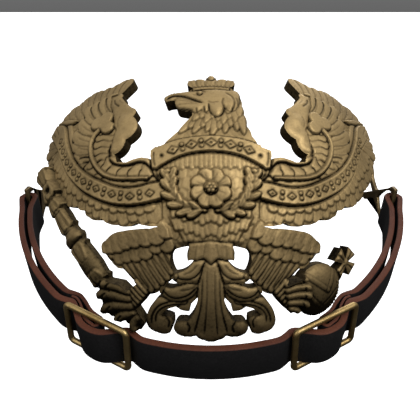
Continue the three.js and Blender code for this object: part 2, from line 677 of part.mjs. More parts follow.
// Stands a fitting on the middle of the leather's width, with its +X ahead and its +Z up the
// width of the leather, so that +Y is to the left of the way ahead.
function stand(fitting, spot, ahead) {
  const { taper, width, slope, level } = STRAP;
  const up = new THREE.Vector3(spot.x * taper / width, spot.y * taper / width, 1);
  ahead.normalize();
  up.addScaledVector(ahead, -up.dot(ahead)).normalize();
  const left = new THREE.Vector3().crossVectors(up, ahead);
  fitting.quaternion.setFromRotationMatrix(new THREE.Matrix4().makeBasis(ahead, left, up));
  fitting.position.set(spot.x * (1 - taper / 2), spot.y * (1 - taper / 2),
    slope * spot.y + level - width / 2);
}

// ---------------------------------------------------------------- slides and hangers

function roundedBox(wide, tall, corner) {
  const points = [];
  [[1, 1], [-1, 1], [-1, -1], [1, -1]].forEach(([sx, sy], quarter) => {
    for (let k = 0; k <= 2; k++) {
      const turn = Math.PI / 2 * (quarter + k / 2);
      points.push(at(sx * (wide / 2 - corner) + corner * Math.cos(turn),
        sy * (tall / 2 - corner) + corner * Math.sin(turn)));
    }
  });
  return points;
}

function extruded(points, holes, depth, bevel = 0) {
  const shape = new THREE.Shape(points);
  shape.holes = holes.map((hole) => new THREE.Path(hole));
  const geometry = new THREE.ExtrudeGeometry(shape, {
    depth: depth - 2 * bevel, bevelEnabled: bevel > 0, bevelThickness: bevel, bevelSize: bevel,
    bevelOffset: -bevel, bevelSegments: 1,
  });
  return geometry.translate(0, 0, bevel - depth / 2);
}

// A rectangular wire slide with a bar across its middle. It stands upright, and +Y is inward.
function slide() {
  const { length, height, wire, bar, corner, barInset } = SLIDE;
  const window = roundedBox(length - 2 * wire, height - 2 * wire, 0.8);
  const frame = extruded(roundedBox(length, height, corner), [window], wire, 0.7);
  const across = new THREE.CylinderGeometry(bar, bar, height - wire, 8);
  across.translate(0, 0, -barInset);
  return toGeometry(toManifold(frame).add(toManifold(across))).rotateX(Math.PI / 2);
}

// A flat hanger: a frame for the fold of the leather, a neck, and an eye for the side post,
// which lies a little higher than the frame.
function hanger() {
  const { thick, bar, half, window, neck, reach, ring, hole, lift } = HANGER;
  const back = bar / 2;
  const raised = (points) => points.map((p) => at(p.x, p.y + lift * Math.max(p.x - back, 0)));
  const body = raised(outline([
    [-back, -half], [back + 1.5, -half - 0.3, 0.8], [neck, -2.6, 0.6], [reach - 9, -8.4],
    [reach, -8], [reach, 8], [reach - 9, 8.4, 0.6], [neck, 2.6, 0.8], [back + 1.5, half + 0.3],
    [-back, half]]));
  const foldWindow = raised(outline([
    [back, -window], [5.6, -window + 0.4, -0.5], [neck - 3, 0, -0.5], [5.6, window - 0.4],
    [back, window]]));
  const eyeUp = lift * (reach - back);
  const disc = extruded(circle(reach, eyeUp, ring, 24), [], thick);
  const drop = [at(neck + 2.6, 0), at(reach - 3, -hole + 1), at(reach - 3, hole - 1)];
  const cut = [foldWindow, circle(reach, eyeUp, hole, 20), raised(drop)];
  return toGeometry(toManifold(extruded(body, [], thick)).add(toManifold(disc))
    .subtract(join(cut.map((points) => toManifold(extruded(points, [], 3 * thick))))))
    .rotateX(Math.PI / 2);
}

// ---------------------------------------------------------------- assembly

function part(name, geometry, finish) {
  const mesh = new THREE.Mesh(geometry, new THREE.MeshStandardMaterial(finish));
  mesh.name = name;
  return mesh;
}

const onHelmet = new THREE.Group();
onHelmet.position.copy(domePoint(0, PLATE.pinUp, -PLATE.depth).point).negate();
onHelmet.add(part('eagle_plate', eaglePlate(), BRASS));
onHelmet.add(part('chin_strap', chinStrap(), LEATHER));

[{ name: 'left', hand: -1 }, { name: 'right', hand: 1 }].forEach(({ name, hand }) => {
  const buckle = part(`buckle_${name}`, slide(), WIRE_BRASS);
  const before = ovalPoint(hand * SLIDE.middle - 1, 0);
  const run = ovalPoint(hand * SLIDE.middle + 1, 0).sub(before);
  stand(buckle, ovalPoint(hand * SLIDE.middle, -SLIDE.inset),
    new THREE.Vector3(run.x, run.y, SLIDE.lean * STRAP.slope * run.y));
  onHelmet.add(buckle);

  const hook = part(`hanger_${name}`, hanger(), WIRE_BRASS);
  stand(hook, ovalPoint(hand * STRAP.fold, -STRAP.thick - STRAP.gap / 2),
    new THREE.Vector3(-hand * HANGER.turnIn, 1, 0));
  onHelmet.add(hook);
});

const root = new THREE.Group();
root.add(onHelmet);
export default root;
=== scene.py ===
# %% [markdown]
# Helmet front plate and chin strap. The plate is one sheet of brass, struck in a die into a
# spread eagle, then bent to the front of a domed helmet. The chin strap is black leather with
# two wire slides and two flat hangers. This lesson dresses the packed solids of the same part:
# it draws the relief as heights on a flat pattern, bends it to the dome, and gives every piece
# its metal or leather.

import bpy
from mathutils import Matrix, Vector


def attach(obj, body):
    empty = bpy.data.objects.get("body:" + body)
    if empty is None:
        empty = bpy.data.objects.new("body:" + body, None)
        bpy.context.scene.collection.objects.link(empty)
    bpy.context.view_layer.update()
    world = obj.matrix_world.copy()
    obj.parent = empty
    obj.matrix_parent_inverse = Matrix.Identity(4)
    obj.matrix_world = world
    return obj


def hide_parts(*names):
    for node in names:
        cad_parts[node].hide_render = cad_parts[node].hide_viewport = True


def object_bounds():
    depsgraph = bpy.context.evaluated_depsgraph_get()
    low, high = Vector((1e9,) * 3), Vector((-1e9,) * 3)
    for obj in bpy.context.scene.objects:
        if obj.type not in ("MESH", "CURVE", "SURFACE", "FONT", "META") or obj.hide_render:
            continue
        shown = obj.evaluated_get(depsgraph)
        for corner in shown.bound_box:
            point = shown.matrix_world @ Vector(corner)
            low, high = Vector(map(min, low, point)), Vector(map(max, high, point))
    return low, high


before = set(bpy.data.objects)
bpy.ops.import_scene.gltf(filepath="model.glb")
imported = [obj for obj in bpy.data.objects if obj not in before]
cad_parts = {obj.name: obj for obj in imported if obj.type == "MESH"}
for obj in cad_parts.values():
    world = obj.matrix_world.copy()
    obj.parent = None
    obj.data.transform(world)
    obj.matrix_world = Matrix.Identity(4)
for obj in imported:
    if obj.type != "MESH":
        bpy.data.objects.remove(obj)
cad_box = [list(corner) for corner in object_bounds()]

import math

import bmesh
import bpy
import numpy as np
from mathutils import Vector, geometry

# %% [markdown]
# Sizes are in millimetres while a piece is drawn, because a maker thinks in them, and each
# finished piece is scaled to metres once. The helmet is a squared egg: power 2 would be a plain
# ellipsoid, and 2.2 makes its sides a little steeper. Its middle is the helmet frame's origin,
# and the part's own origin is where the plate pins on, so one fixed shift joins the two.

# %% Sizes of the helmet and the plate
MM = 0.001
DOME_SIDE, DOME_FRONT, DOME_TOP, DOME_POWER = 93.0, 99.0, 97.0, 2.2
PATTERN_RADIUS, PATTERN_TILT = 96.0, math.radians(30)
PLATE_DEPTH = 3.5
PIN_UP = 4.0


def dome_points(flat, height):
    """Points of the flat pattern, bent to the dome and lifted off it, in the helmet's frame."""
    u, v = flat[:, 0], flat[:, 1]
    reach = np.maximum(np.hypot(u, v), 1e-9)
    turn = reach / PATTERN_RADIUS
    ahead = np.array([0, -math.cos(PATTERN_TILT), math.sin(PATTERN_TILT)])
    above = np.array([0, math.sin(PATTERN_TILT), math.cos(PATTERN_TILT)])
    way = np.cos(turn)[:, None] * ahead + (np.sin(turn) * v / reach)[:, None] * above
    way[:, 0] += np.sin(turn) * u / reach
    level = np.hypot(way[:, 0] / DOME_SIDE, way[:, 1] / DOME_FRONT)
    rise = np.abs(way[:, 2]) / DOME_TOP
    size = (level**DOME_POWER + rise**DOME_POWER) ** (-1 / DOME_POWER)
    spot = way * size[:, None]
    level = np.maximum(level * size, 1e-9) ** (DOME_POWER - 2)
    normal = np.stack([
        level * spot[:, 0] / DOME_SIDE**2,
        level * spot[:, 1] / DOME_FRONT**2,
        np.sign(spot[:, 2]) * (np.abs(spot[:, 2]) / DOME_TOP) ** (DOME_POWER - 1) / DOME_TOP,
    ], axis=1)
    normal /= np.linalg.norm(normal, axis=1, keepdims=True)
    return spot + normal * np.asarray(height)[:, None], normal


ORIGIN = dome_points(np.array([[0.0, PIN_UP]]), np.array([-PLATE_DEPTH]))[0][0]
print("the plate pins on at", ORIGIN.round(2), "in the helmet's frame")


def to_metres(points):
    """Millimetres in the helmet's frame to metres in the part's own frame."""
    return (np.asarray(points, float) - ORIGIN) * MM


# %% [markdown]
# The relief is drawn as heights on a flat grid of small cells, the way a die sinker works from a
# flat pattern. Three fields lie on the grid: how high the metal stands, how far inside the plate a
# cell is, and how dark it is painted, which is patina in the hollows and painted shade where the
# relief would shadow itself. Sculpting it by hand would also work, but a pattern in code can be
# measured, mirrored and changed by one number.

# %% The pattern's grid: u to the right, v up
CELL = 0.19
ACROSS = np.arange(-91.8, 90, CELL)
UPWARD = np.arange(-51, 64.8, CELL)
NOTHING = -9.0          # height where there is no metal
PAST_EDGE = -0.6        # forms are laid a little past the plate's edge
relief = np.full((len(UPWARD), len(ACROSS)), NOTHING)
cover = np.full(relief.shape, NOTHING)
# patina in the hollows and painted shade, in one field of darkness
patina_and_shade = np.zeros(relief.shape)
print("pattern:", len(ACROSS), "by", len(UPWARD), "cells of", CELL, "mm")

# %% Lines and outlines


def curve(points, parts=6):
    """A smooth line through some points."""
    p = np.asarray(points, float)
    p = np.vstack([2 * p[0] - p[1], p, 2 * p[-1] - p[-2]])
    made = [p[1]]
    for a, b, c, d in zip(p[:-3], p[1:-2], p[2:-1], p[3:]):
        for t in np.linspace(0, 1, parts + 1)[1:]:
            made.append(0.5 * (2 * b + (c - a) * t + (2 * a - 5 * b + 4 * c - d) * t**2
                               + (3 * b - a - 3 * c + d) * t**3))
    return np.array(made)


def even(line, count):
    """Spots at equal distances along a line, and the way it runs at each."""
    steps = np.hypot(*np.diff(line, axis=0).T)
    walked = np.concatenate([[0], np.cumsum(steps)])
    at = (np.arange(count) + 0.5) / count * walked[-1]
    spots = np.stack([np.interp(at, walked, line[:, k]) for k in (0, 1)], axis=1)
    ahead = np.stack([np.interp(at + 0.5, walked, line[:, k]) for k in (0, 1)], axis=1)
    behind = np.stack([np.interp(at - 0.5, walked, line[:, k]) for k in (0, 1)], axis=1)
    runs = ahead - behind
    return spots, runs / np.hypot(*runs.T)[:, None]


def outline(rows, side=1, step=0.9):
    """Corners [out, up, arch] made into a closed ring of points; arch swells the next stretch."""
    ring = []
    for here, after in zip(rows, rows[1:] + rows[:1]):
        out, up = here[:2]
        arch = here[2] if len(here) > 2 else 0
        run = np.array([after[0] - out, after[1] - up])
        length = np.hypot(*run)
        parts = 1 if arch == 0 else max(2, round(length / step))
        for t in np.arange(parts) / parts:
            lift = 4 * arch * t * (1 - t) / length
            ring.append([side * (out + run[0] * t - run[1] * lift),
                         up + run[1] * t + run[0] * lift])
    return np.array(ring)


tried = outline([[0, 0], [0, 10, 2], [10, 10], [10, 0]])
print("a square of 10 mm whose top swells by 2 mm has", len(tried), "points")

# %% Distances on the grid


def patch(points, margin):
    """The part of the grid round some points: where it is, and its two coordinates."""
    low, high = points.min(0) - margin, points.max(0) + margin
    cols = slice(*np.searchsorted(ACROSS, (low[0], high[0])))
    rows = slice(*np.searchsorted(UPWARD, (low[1], high[1])))
    return (rows, cols), ACROSS[cols][None, :], UPWARD[rows][:, None]


def follow(points, margin):
    """For each spot near a line: its distance, how far along (0 to 1), its side (left is 1)."""
    points = np.asarray(points, float)
    place, x, y = patch(points, margin)
    gap = np.full((y.size, x.size), np.inf)
    way, hand = np.zeros(gap.shape), np.zeros(gap.shape)
    walked = 0.0
    for a, b in zip(points[:-1], points[1:]):
        run = b - a
        length = np.hypot(*run)
        if length < 1e-9:
            continue
        t = np.clip(((x - a[0]) * run[0] + (y - a[1]) * run[1]) / length**2, 0, 1)
        dx, dy = x - a[0] - t * run[0], y - a[1] - t * run[1]
        near = np.hypot(dx, dy) < gap
        gap = np.where(near, np.hypot(dx, dy), gap)
        way = np.where(near, walked + t * length, way)
        hand = np.where(near, np.sign(run[0] * dy - run[1] * dx), hand)
        walked += length
    return place, gap, way / walked, hand


def inside(ring, margin=1.5):
    """How far inside a closed outline each spot near it lies; less than 0 outside."""
    closed = np.vstack([ring, ring[:1]])
    place, gap, _, _ = follow(closed, margin)
    _, x, y = patch(closed, margin)
    odd = np.zeros(gap.shape, bool)
    for a, b in zip(closed[:-1], closed[1:]):
        if a[1] != b[1]:
            crossed = (a[1] > y) != (b[1] > y)
            odd ^= crossed & (x < a[0] + (y - a[1]) * (b[0] - a[0]) / (b[1] - a[1]))
    return place, np.where(odd, gap, -gap)


deepest = inside(tried)[1].max()
print("its middle lies", round(float(deepest), 2), "mm inside its outline")

# %% [markdown]
# Forms are laid in a painter's order: a later one covers an earlier one and sinks a dark
# crevice beside itself. The dark line is partly old polish kept at the edge, as on a struck
# plate, and partly painted shade, the shadow that the raised edge would cast. Only the large
# forms may widen the plate; feathers are cut off at its edge.

# %% Laying a form


def lay(place, deep, surface, crevice=0.6, sink=0.15, widen=False, dark=1.0):
    """Lays a form over what is there, and paints the crevice round its edge dark: partly
    patina, partly painted shade.
    Only a form that may widen the plate changes its outline."""
    if widen:
        cover[place] = np.maximum(cover[place], deep)
    on = (deep > 0) & (cover[place] > PAST_EDGE)
    # the crevice beside the form is painted dark: patina, and painted shade cast by the form's edge
    near = np.clip(1.7 * (1 + deep / crevice), 0, 1)
    relief[place] = np.where(on, surface, relief[place] - sink * near * (relief[place] > NOTHING))
    patina_and_shade[place] = np.where(on, 0.55 * dark * np.clip(1 - deep / 0.3, 0, 1) * (not widen),
                           np.maximum(patina_and_shade[place], near * dark))


def shoulder(deep, wide, drop):
    """How far a rounded edge falls away: nothing past wide from the edge, drop at the edge."""
    t = 1 - np.clip(deep / wide, 0, 1)
    return drop * (1 - np.sqrt(np.clip(1 - t**2, 0, 1)))


def slab(ring, high, wide=0.5, drop=0.3, crevice=0.6, sink=0.0, widen=True):
    """A flat form with an eased edge."""
    place, deep = inside(ring)
    lay(place, deep, high - shoulder(deep, wide, drop), crevice, sink, widen)


def pillow(ring, low, high, wide, crevice=0.6, sink=0.1, widen=False):
    """A form that is low at its edge and high inside it."""
    place, deep = inside(ring)
    lay(place, deep, high - shoulder(deep, wide, high - low), crevice, sink, widen)


print("an edge eased over 1 mm by 0.5 mm:", shoulder(np.array([0, 0.25, 0.5, 1]), 1, 0.5).round(2))

# %% [markdown]
# A feather is the plate's main mark: a rounded tongue that rises to its tip, with a vein and
# sometimes fine barbs. Rows of them are given by a line of roots and a line of tips, so one call
# covers a whole edge of a wing; single ones come from a table where the row is uneven.

# %% Feathers


def feather(root, tip, wide, low, high, bend=0.0, crown=0.12, vein=0.0, crevice=0.6, taper=0.7,
            point=1.2, barbs=0.0, dark=0.75):
    """A feather that rises from its root to its tip. bend bows it to the left of the way it
    runs, point makes the tip longer than round, vein sinks a line along its middle, and barbs
    comb it. Its paint darkens towards the tip, where one feather lies over the next: painted
    shade under the overlap, with some patina."""
    root, tip = np.array(root, float), np.array(tip, float)
    run = tip - root
    length = np.hypot(*run)
    left = np.array([-run[1], run[0]]) / length
    line = curve([root, (root + tip) / 2 + bend * left, tip], 8)
    place, gap, way, hand = follow(line, wide / 2 + 1)
    start = max(1 - point * wide / 2 / length, 0.3)
    closing = np.clip((way - start) / (1 - start), 0, 1)
    half = wide / 2 * (taper + (1 - taper) * np.clip(way / start, 0, 1)) * np.sqrt(1 - closing**2.2)
    deep = half - gap
    surface = low + (high - low) * way - crown * (gap / (wide / 2)) ** 2
    if vein:
        line_here = np.clip(1 - gap / 0.45, 0, 1) * np.clip((0.8 - way) / 0.2, 0, 1)
        surface -= 0.25 * vein * line_here
    if barbs:
        comb = 0.5 + 0.5 * np.cos(2 * np.pi * (0.35 * way * length + gap) / 1.3)
        surface -= barbs * comb * np.clip(deep / 0.6, 0, 1)
    # painted shade: darker towards the tip, where the next feather would shadow it
    lay(place, deep, surface - shoulder(deep, 0.4, 0.18), crevice, 0.12,
        dark=dark * np.clip(0.45 + 0.8 * way, 0, 1))
    # the vein and the barbs are painted dark too: painted shade in their grooves, with patina
    mark = patina_and_shade[place]
    if vein:
        mark[...] = np.where(deep > 0.1, np.maximum(mark, vein * line_here), mark)
    if barbs:
        mark[...] = np.where(deep > 0.1, np.maximum(mark, 1.7 * barbs * comb), mark)


def mirrored(points, side):
    """Flat points of the right half, or their mirror image when side is -1."""
    return np.asarray(points, float) * (side, 1)


def fan(roots, tips, count, wide, low, high, side=1, bend=0.0, back=False, uneven=0.0, **more):
    """Feathers in a row, from one line of roots to one line of tips, each over the last.
    uneven is the most by which one may be shorter than the row."""
    starts, _ = even(curve(roots, 8), count)
    ends, _ = even(curve(tips, 8), count)
    pairs = list(zip(starts, ends))
    for k, (a, b) in enumerate(pairs[::-1] if back else pairs):
        b = b + (a - b) * uneven * (3 * k % 5) / 4
        feather(a * (side, 1), b * (side, 1), wide, low, high, bend * side, **more)


def feather_row(table, side, low, high, bend, wide=None, **more):
    """Feathers given one by one: root, tip, and a width of its own if the row has no one width."""
    for root, tip, *own in table:
        feather(mirrored(root, side), mirrored(tip, side), own[0] if own else wide, low, high,
                bend * side, **more)


# %% Lines, bands, beads and humps


def groove(points, wide, deep, dark=1.0, side=1, smooth=True):
    """An engraved line: wide at its middle and dying out at both ends."""
    line = np.asarray(points, float) * (side, 1)
    place, gap, way, _ = follow(curve(line) if smooth else line, wide + 0.5)
    reach = wide * np.clip(np.minimum(way, 1 - way) * 8 + 0.35, 0, 1)
    cut = np.clip(1.5 * (1 - gap / reach), 0, 1)
    relief[place] -= deep * cut * (relief[place] > NOTHING)
    # the line is painted dark: patina in it, and painted shade
    patina_and_shade[place] = np.maximum(patina_and_shade[place], dark * cut)


def grooves(table, side=1):
    """Engraved lines, each given as its points, width, depth and darkness."""
    for points, wide, deep, dark in table:
        groove(points, wide, deep, dark, side)


def tube(points, half, base, high, side=1, crevice=0.6, thin=1.0, sink=0.15):
    """A rounded band along a line, half wide, which rises to high over base."""
    place, gap, way, _ = follow(curve(np.asarray(points, float) * (side, 1)), half + 1)
    wide = half * (1 + (thin - 1) * way)
    rise = np.sqrt(np.clip(1 - (gap / wide) ** 2, 0, 1))
    lay(place, wide - gap, base + (high - base) * rise, crevice, sink)


def bead(out, up, radius, base, high, crevice=0.5, **more):
    """A round bead."""
    place, x, y = patch(np.array([[out, up]]), radius + 1)
    gap = np.hypot(x - out, y - up)
    rise = np.sqrt(np.clip(1 - (gap / radius) ** 2, 0, 1))
    lay(place, radius - gap, base + (high - base) * rise, crevice, **more)


def swell(out, up, wide, high, side=1):
    """Raises what is there in a soft round hump."""
    place, x, y = patch(np.array([[side * out, up]]), 2.5 * wide)
    hump = high * np.exp(-((x - side * out) ** 2 + (y - up) ** 2) / wide**2)
    relief[place] += hump * (relief[place] > NOTHING)


def laid(name):
    """Says how much metal there is once a form is laid."""
    area = (cover > 0).sum() * CELL**2 / 100
    print(f"{name}: {area:.1f} square centimetres of plate, highest {relief.max():.2f} mm")


# %% [markdown]
# Each wing starts as a flat slab with a scalloped outline. Two rows of short feathers follow its
# lower edge and long ones fan out to the upper edge; then come the broad coverts, the smooth
# fore wing, a rope of lobes, and a stem that ends in a trefoil. The left half is the right one
# mirrored, because the die was cut to one drawing.

# %% The wing's outline and its single feathers
WING = [
    [6, 6], [12, 18], [20.5, 18.1], [24.5, 18.9, 0.3], [30.5, 17.6, 0], [34.6, 18.2, 0.4],
    [36.3, 21.6, 1.2], [31.9, 27.3, 3.4], [30.3, 37.6, 1.6], [31.3, 42.2, -0.3],
    [37.2, 49.2, 0.8], [38.6, 52.6, 0], [34.8, 58.2, 0.2], [34.2, 61.2, 0.5],
    [37.8, 62.4, 0.3], [44.8, 59.4, 0.6], [49.8, 59.2, 0], [51.4, 60, 0.9], [60.3, 58.6, 0.6],
    [64.8, 55.8, 0], [66, 56.4, 0.9], [73.6, 54.6, 0.9], [78.7, 49.6, 0], [79.4, 48.6, 1.1],
    [83, 42.6, 1.3], [82.6, 36.6, 0], [83.2, 35.6, 1.2], [81.4, 29, 0], [80.6, 27, 1.2],
    [77, 21.2, 0.4], [74.8, 18.6, 1.1], [69.2, 12.8, 0.2], [67.6, 11.2, 1.1], [61.4, 5.2, 0.2],
    [59.6, 4, 0.9], [53.6, 3.2, 0.8], [49.6, 1.2, 0.8], [47.6, -1.6, 1], [41, -2.4, 0.9],
    [34.2, -5, 1], [26.6, -4.4, 0.7], [16.6, -5.4, 0], [6, -4],
]
FLIGHT = [      # root, tip, width: the long feathers of the upper edge, from the outside in
    [[66, 40], [84.4, 31], 6.4], [[65, 41], [85, 38], 6.4], [[64, 42], [84, 45], 6.4],
    [[62, 42], [80.6, 51], 6.2], [[60, 43], [76.4, 55.4], 6], [[58, 43.4], [71, 57.4], 6],
    [[55.6, 44], [65.4, 58.4], 5.8], [[53.6, 45], [60.4, 60.2], 5.6],
    [[51, 46.4], [55.6, 61.6], 5.6], [[48.6, 47], [51, 61], 5.2],
    [[45.4, 48], [46.6, 60.6], 5.2], [[42.6, 48], [42.4, 62], 5.2],
    [[39.8, 47], [38.4, 63.4], 5.4], [[38.4, 49], [34.4, 62.8], 4.4],
]
COVERTS = [     # root, tip: the broad feathers that start behind the stem and the trefoil
    [[38, 13], [43.4, 10.8]], [[40.5, 14], [47.4, 13.4]], [[43, 16], [51, 16.8]],
    [[45, 18.6], [54, 21]], [[46.4, 22], [56.6, 25.6]], [[47.4, 25.6], [58.6, 30.6]],
    [[47.6, 29], [59.6, 36]], [[47, 33], [57.6, 42]], [[45.6, 36.6], [55.8, 49.4]],
    [[43.4, 38.4], [50.6, 50.6]], [[41.6, 40.6], [46, 51.6]], [[39, 42.4], [41.8, 53]],
]
BEHIND_STEM = [
    [[38.6, 18.6], [43.8, 16.6]], [[39.2, 21.6], [46, 20.4]], [[39.4, 24.4], [46.6, 23.4]],
    [[39.2, 27], [46.8, 26.6]], [[38.8, 29.6], [46.4, 29.8]], [[38.4, 32], [45.4, 32.8]],
]
ROPE = [        # root, tip, width
    [[38, 19.4], [41.4, 15.6], 3.6], [[34.4, 17], [38.6, 13.6], 4.4],
    [[29.8, 16.6], [34, 12.4], 4.6], [[25.4, 16.6], [29.4, 11.9], 4.6],
    [[22, 16], [24.8, 11.4], 4.2],
]
RIM_LINE = [
    [38.6, 26], [38.9, 23], [38.2, 20.2], [36.4, 18], [33.4, 16.8], [29.6, 16.5], [26.4, 17.1],
    [23.6, 16.8], [21.6, 15], [19.6, 12],
]
RIBBON_TOP = [
    [15, 9.8], [21.4, 9], [25, 8.2], [30, 7.9], [35, 8.8], [40, 10.8], [47.3, 14.4],
    [52, 17.8], [56, 21.8], [60, 27.2], [63.5, 32.8], [66.4, 38.8], [68.7, 42.7], [72.3, 45.6],
    [78.6, 48.2],
]
STRIP_WIDE = 3.6
print("wing outline:", len(outline(WING)), "points;", len(FLIGHT) + len(COVERTS), "single feathers")

# %% The feathers of the wing


def edge_feathers(side):
    """Two rows of short feathers along the lower edge, then the long ones of the upper."""
    slab(outline(WING, side), 0.0, 0.8, 0.35)
    lower = dict(side=side, back=True, bend=-1.0, taper=0.8, point=1.8, dark=0.55, uneven=0.22)
    fan([[20, 3], [31, 2.6], [44, 7], [55, 14], [65, 24], [74, 34], [80, 42]],
        [[17.6, -6], [34, -5.8], [48.6, -2.2], [62, 4], [76, 17], [84.6, 29], [86, 38]],
        21, 5.6, -0.1, 0.5, vein=0.35, barbs=0.08, **lower)
    fan([[22, 3], [31, 2.6], [44, 7], [55, 14], [65, 24], [74, 34], [80, 42]],
        [[20, -1.6], [33, -1.4], [46.6, 2], [58.6, 8], [70.4, 19], [79.6, 31], [84, 39]],
        22, 4.8, 0.2, 0.8, vein=0.25, barbs=0.08, **lower)
    feather_row(FLIGHT, side, 0.2, 0.95, -1.6, vein=0.35, barbs=0.09, crevice=0.75, taper=0.9,
                point=1.3, dark=0.65)


def covert_feathers(side):
    """A plain strip beside the ribbon, the broad feathers, and short strokes at their roots."""
    line = curve(RIBBON_TOP)
    run = np.gradient(line, axis=0)
    inner = line + STRIP_WIDE * np.stack([-run[:, 1], run[:, 0]], 1) / np.hypot(*run.T)[:, None]
    slab(mirrored(np.vstack([line, inner[::-1]]), side), 0.85, 0.6, 0.2, 0.5, widen=False)
    feather_row(COVERTS, side, 0.8, 1.7, -1.0, wide=6.2, crevice=0.8, taper=0.55, vein=0.55,
                point=1.0, crown=0.25, dark=1.3)
    for stroke in ([[47.8, 22.2], [50.4, 22.7], [53.4, 22.4]], [[48.4, 20.3], [51.4, 20.4]],
                   [[44.6, 18.4], [47, 17.8], [49.8, 18.6]], [[46, 16.4], [48.6, 15.8]],
                   [[40.6, 14], [43, 13.8], [45, 14.8]], [[37.6, 12.8], [40.4, 12.9]],
                   [[33, 11.9], [35.6, 12.1]], [[28, 10.6], [31, 10.8]]):
        groove(stroke, 0.6, 0.25, 0.9, side)


# %% The smooth parts of the wing


def fore_wing(side):
    """The smooth fore part of the wing, with its muscles."""
    fore = [[38.4, 52.6], [33, 46], [24, 38], [24, 27], [33, 18.6], [37.4, 18.6], [38.9, 22],
            [39, 31, 0.3], [38.4, 36], [40, 40, 0.4], [41.6, 45], [42.2, 51, 0.6]]
    place, deep = inside(outline(fore, side))
    rim = np.minimum(deep, np.maximum(cover[place], 0))
    lay(place, deep, 1.5 - shoulder(rim, 2.4, 1.0), 0.5)
    for muscle in ((33.4, 35.6, 2.6, 0.5), (34.6, 28.6, 2.2, 0.45), (36.6, 23.4, 1.6, 0.3),
                   (37.2, 44.4, 2.4, 0.25), (32.4, 40, 1.6, -0.25), (36, 32, 1.6, -0.3),
                   (33.4, 31.6, 1.2, -0.2)):
        swell(*muscle, side)
    grooves(([[[35.6, 38], [36.4, 35.6], [35.8, 33]], 0.5, 0.15, 0.35],
             [[[40.4, 48.4], [39.6, 46], [37, 43.4]], 0.5, 0.3, 0.9],
             [[[37.8, 48], [37.2, 46.6], [35.4, 44.8]], 0.4, 0.15, 0.5]), side)


def feathers_by_the_stem(side):
    """Small feathers behind the stem, and a plain strip between it and the ribbon."""
    feather_row(BEHIND_STEM, side, 0.8, 1.3, 1.0, wide=3.6, crown=0.2, crevice=0.7, point=0.9,
                taper=0.9, dark=1.2)
    strip = [[47.6, 21], [43, 15.6], [37, 12.4], [30, 11.4], [19.6, 12], [17, 9.4], [22, 7.6],
             [30, 7.4], [41, 10.6], [50.6, 17.6]]
    slab(outline(strip, side), 1.0, 0.6, 0.2, 0.5, widen=False)
    for stroke in ([[47.8, 20.2], [49.6, 19.4]], [[45.4, 17.6], [47.6, 17], [49, 17.6]],
                   [[42.4, 14.8], [44.6, 14.6]], [[38.6, 12.6], [41.4, 12.8]],
                   [[33, 11], [36, 11.4]], [[26, 10.2], [29, 10]]):
        groove(stroke, 0.5, 0.2, 0.8, side)


def inner_rope(side):
    """The rope of short lobes below the wing's inner edge, and the plain rim above it."""
    band = [[39.6, 21], [36, 19.4], [20, 19.4], [19.6, 12], [24, 11.4], [30, 11.8], [36, 12.6],
            [41.4, 15.4]]
    place, deep = inside(outline(band, side))
    rim = np.minimum(deep, np.maximum(cover[place], 0))
    lay(place, deep, 1.5 - shoulder(rim, 1.0, 0.5), 0.6)
    feather_row(ROPE, side, 1.2, 1.6, -1.0, crown=0.3, crevice=0.8, point=0.9, taper=1, dark=1.3)
    place, gap, _, hand = follow(curve(mirrored(RIM_LINE, side)), 5)
    low_enough = UPWARD[place[0]][:, None] < 20.4
    above = (hand * side < 0) & (cover[place] > PAST_EDGE) & (gap < 3.4) & low_enough
    rim = np.maximum(cover[place], 0)
    relief[place] = np.where(above, 1.75 - shoulder(rim, 0.9, 0.45), relief[place])
    patina_and_shade[place] = np.where(above, 0, patina_and_shade[place])
    groove(RIM_LINE, 0.75, 0.5, 1.0, side)


def stem_and_trefoil(side):
    """A round stem that ends in three lobes."""
    stem = [[43.6, 34.6], [46.8, 31.6], [48.0, 27.6], [47, 22.8], [44.2, 18], [40.4, 14.4],
            [35.6, 12.3], [29.6, 11.5], [22.4, 11.2]]
    tube(stem, 1.1, 1.4, 2.0, side, 0.75, thin=0.4, sink=0.25)
    lobes = [[46.6, 37.3, 3.15], [40.9, 34.1, 2.95], [42.3, 38.9, 3.15], [43.6, 36.3, 2.2]]
    place, x, y = patch(np.array([[side * 43.6, 36.4]]), 9)
    deep = np.max([r - np.hypot(x - side * out, y - up) for out, up, r in lobes], axis=0)
    lay(place, deep, 1.9 - shoulder(deep, 0.8, 0.4), 0.55)


# %% Both wings
for side in (-1, 1):
    for form in (edge_feathers, covert_feathers, fore_wing, feathers_by_the_stem, inner_rope,
                 stem_and_trefoil):
        form(side)
laid("wings")

# %% [markdown]
# The feet and the tail lie lowest, so they come before the thighs. The tail is a stem that
# spreads into a fan, with pairs of leaves and scrolls beside it. Each leaf is the same call with
# another outline, so a table holds them.

# %% Feet
LEFT_FOOT = [
    [31, -29.4], [33.7, -26.8], [39.8, -25.3, 0.6], [43.4, -31], [43.1, -36.8, 0.3],
    [39.4, -40.8], [35.2, -40.4], [30.6, -44.3], [26.9, -45], [25.2, -42], [28.4, -36.5],
]
RIGHT_FOOT = [
    [28, -27], [33, -24.6], [36, -29], [34.6, -36], [31.6, -38.2], [27, -34.6],
]


def feet():
    """The flat of each foot; the toes come last."""
    slab(outline(LEFT_FOOT, -1), 1.4, 1.2, 0.9)
    slab(outline(RIGHT_FOOT, 1), 1.4, 1.2, 0.9)


feet()
laid("feet")

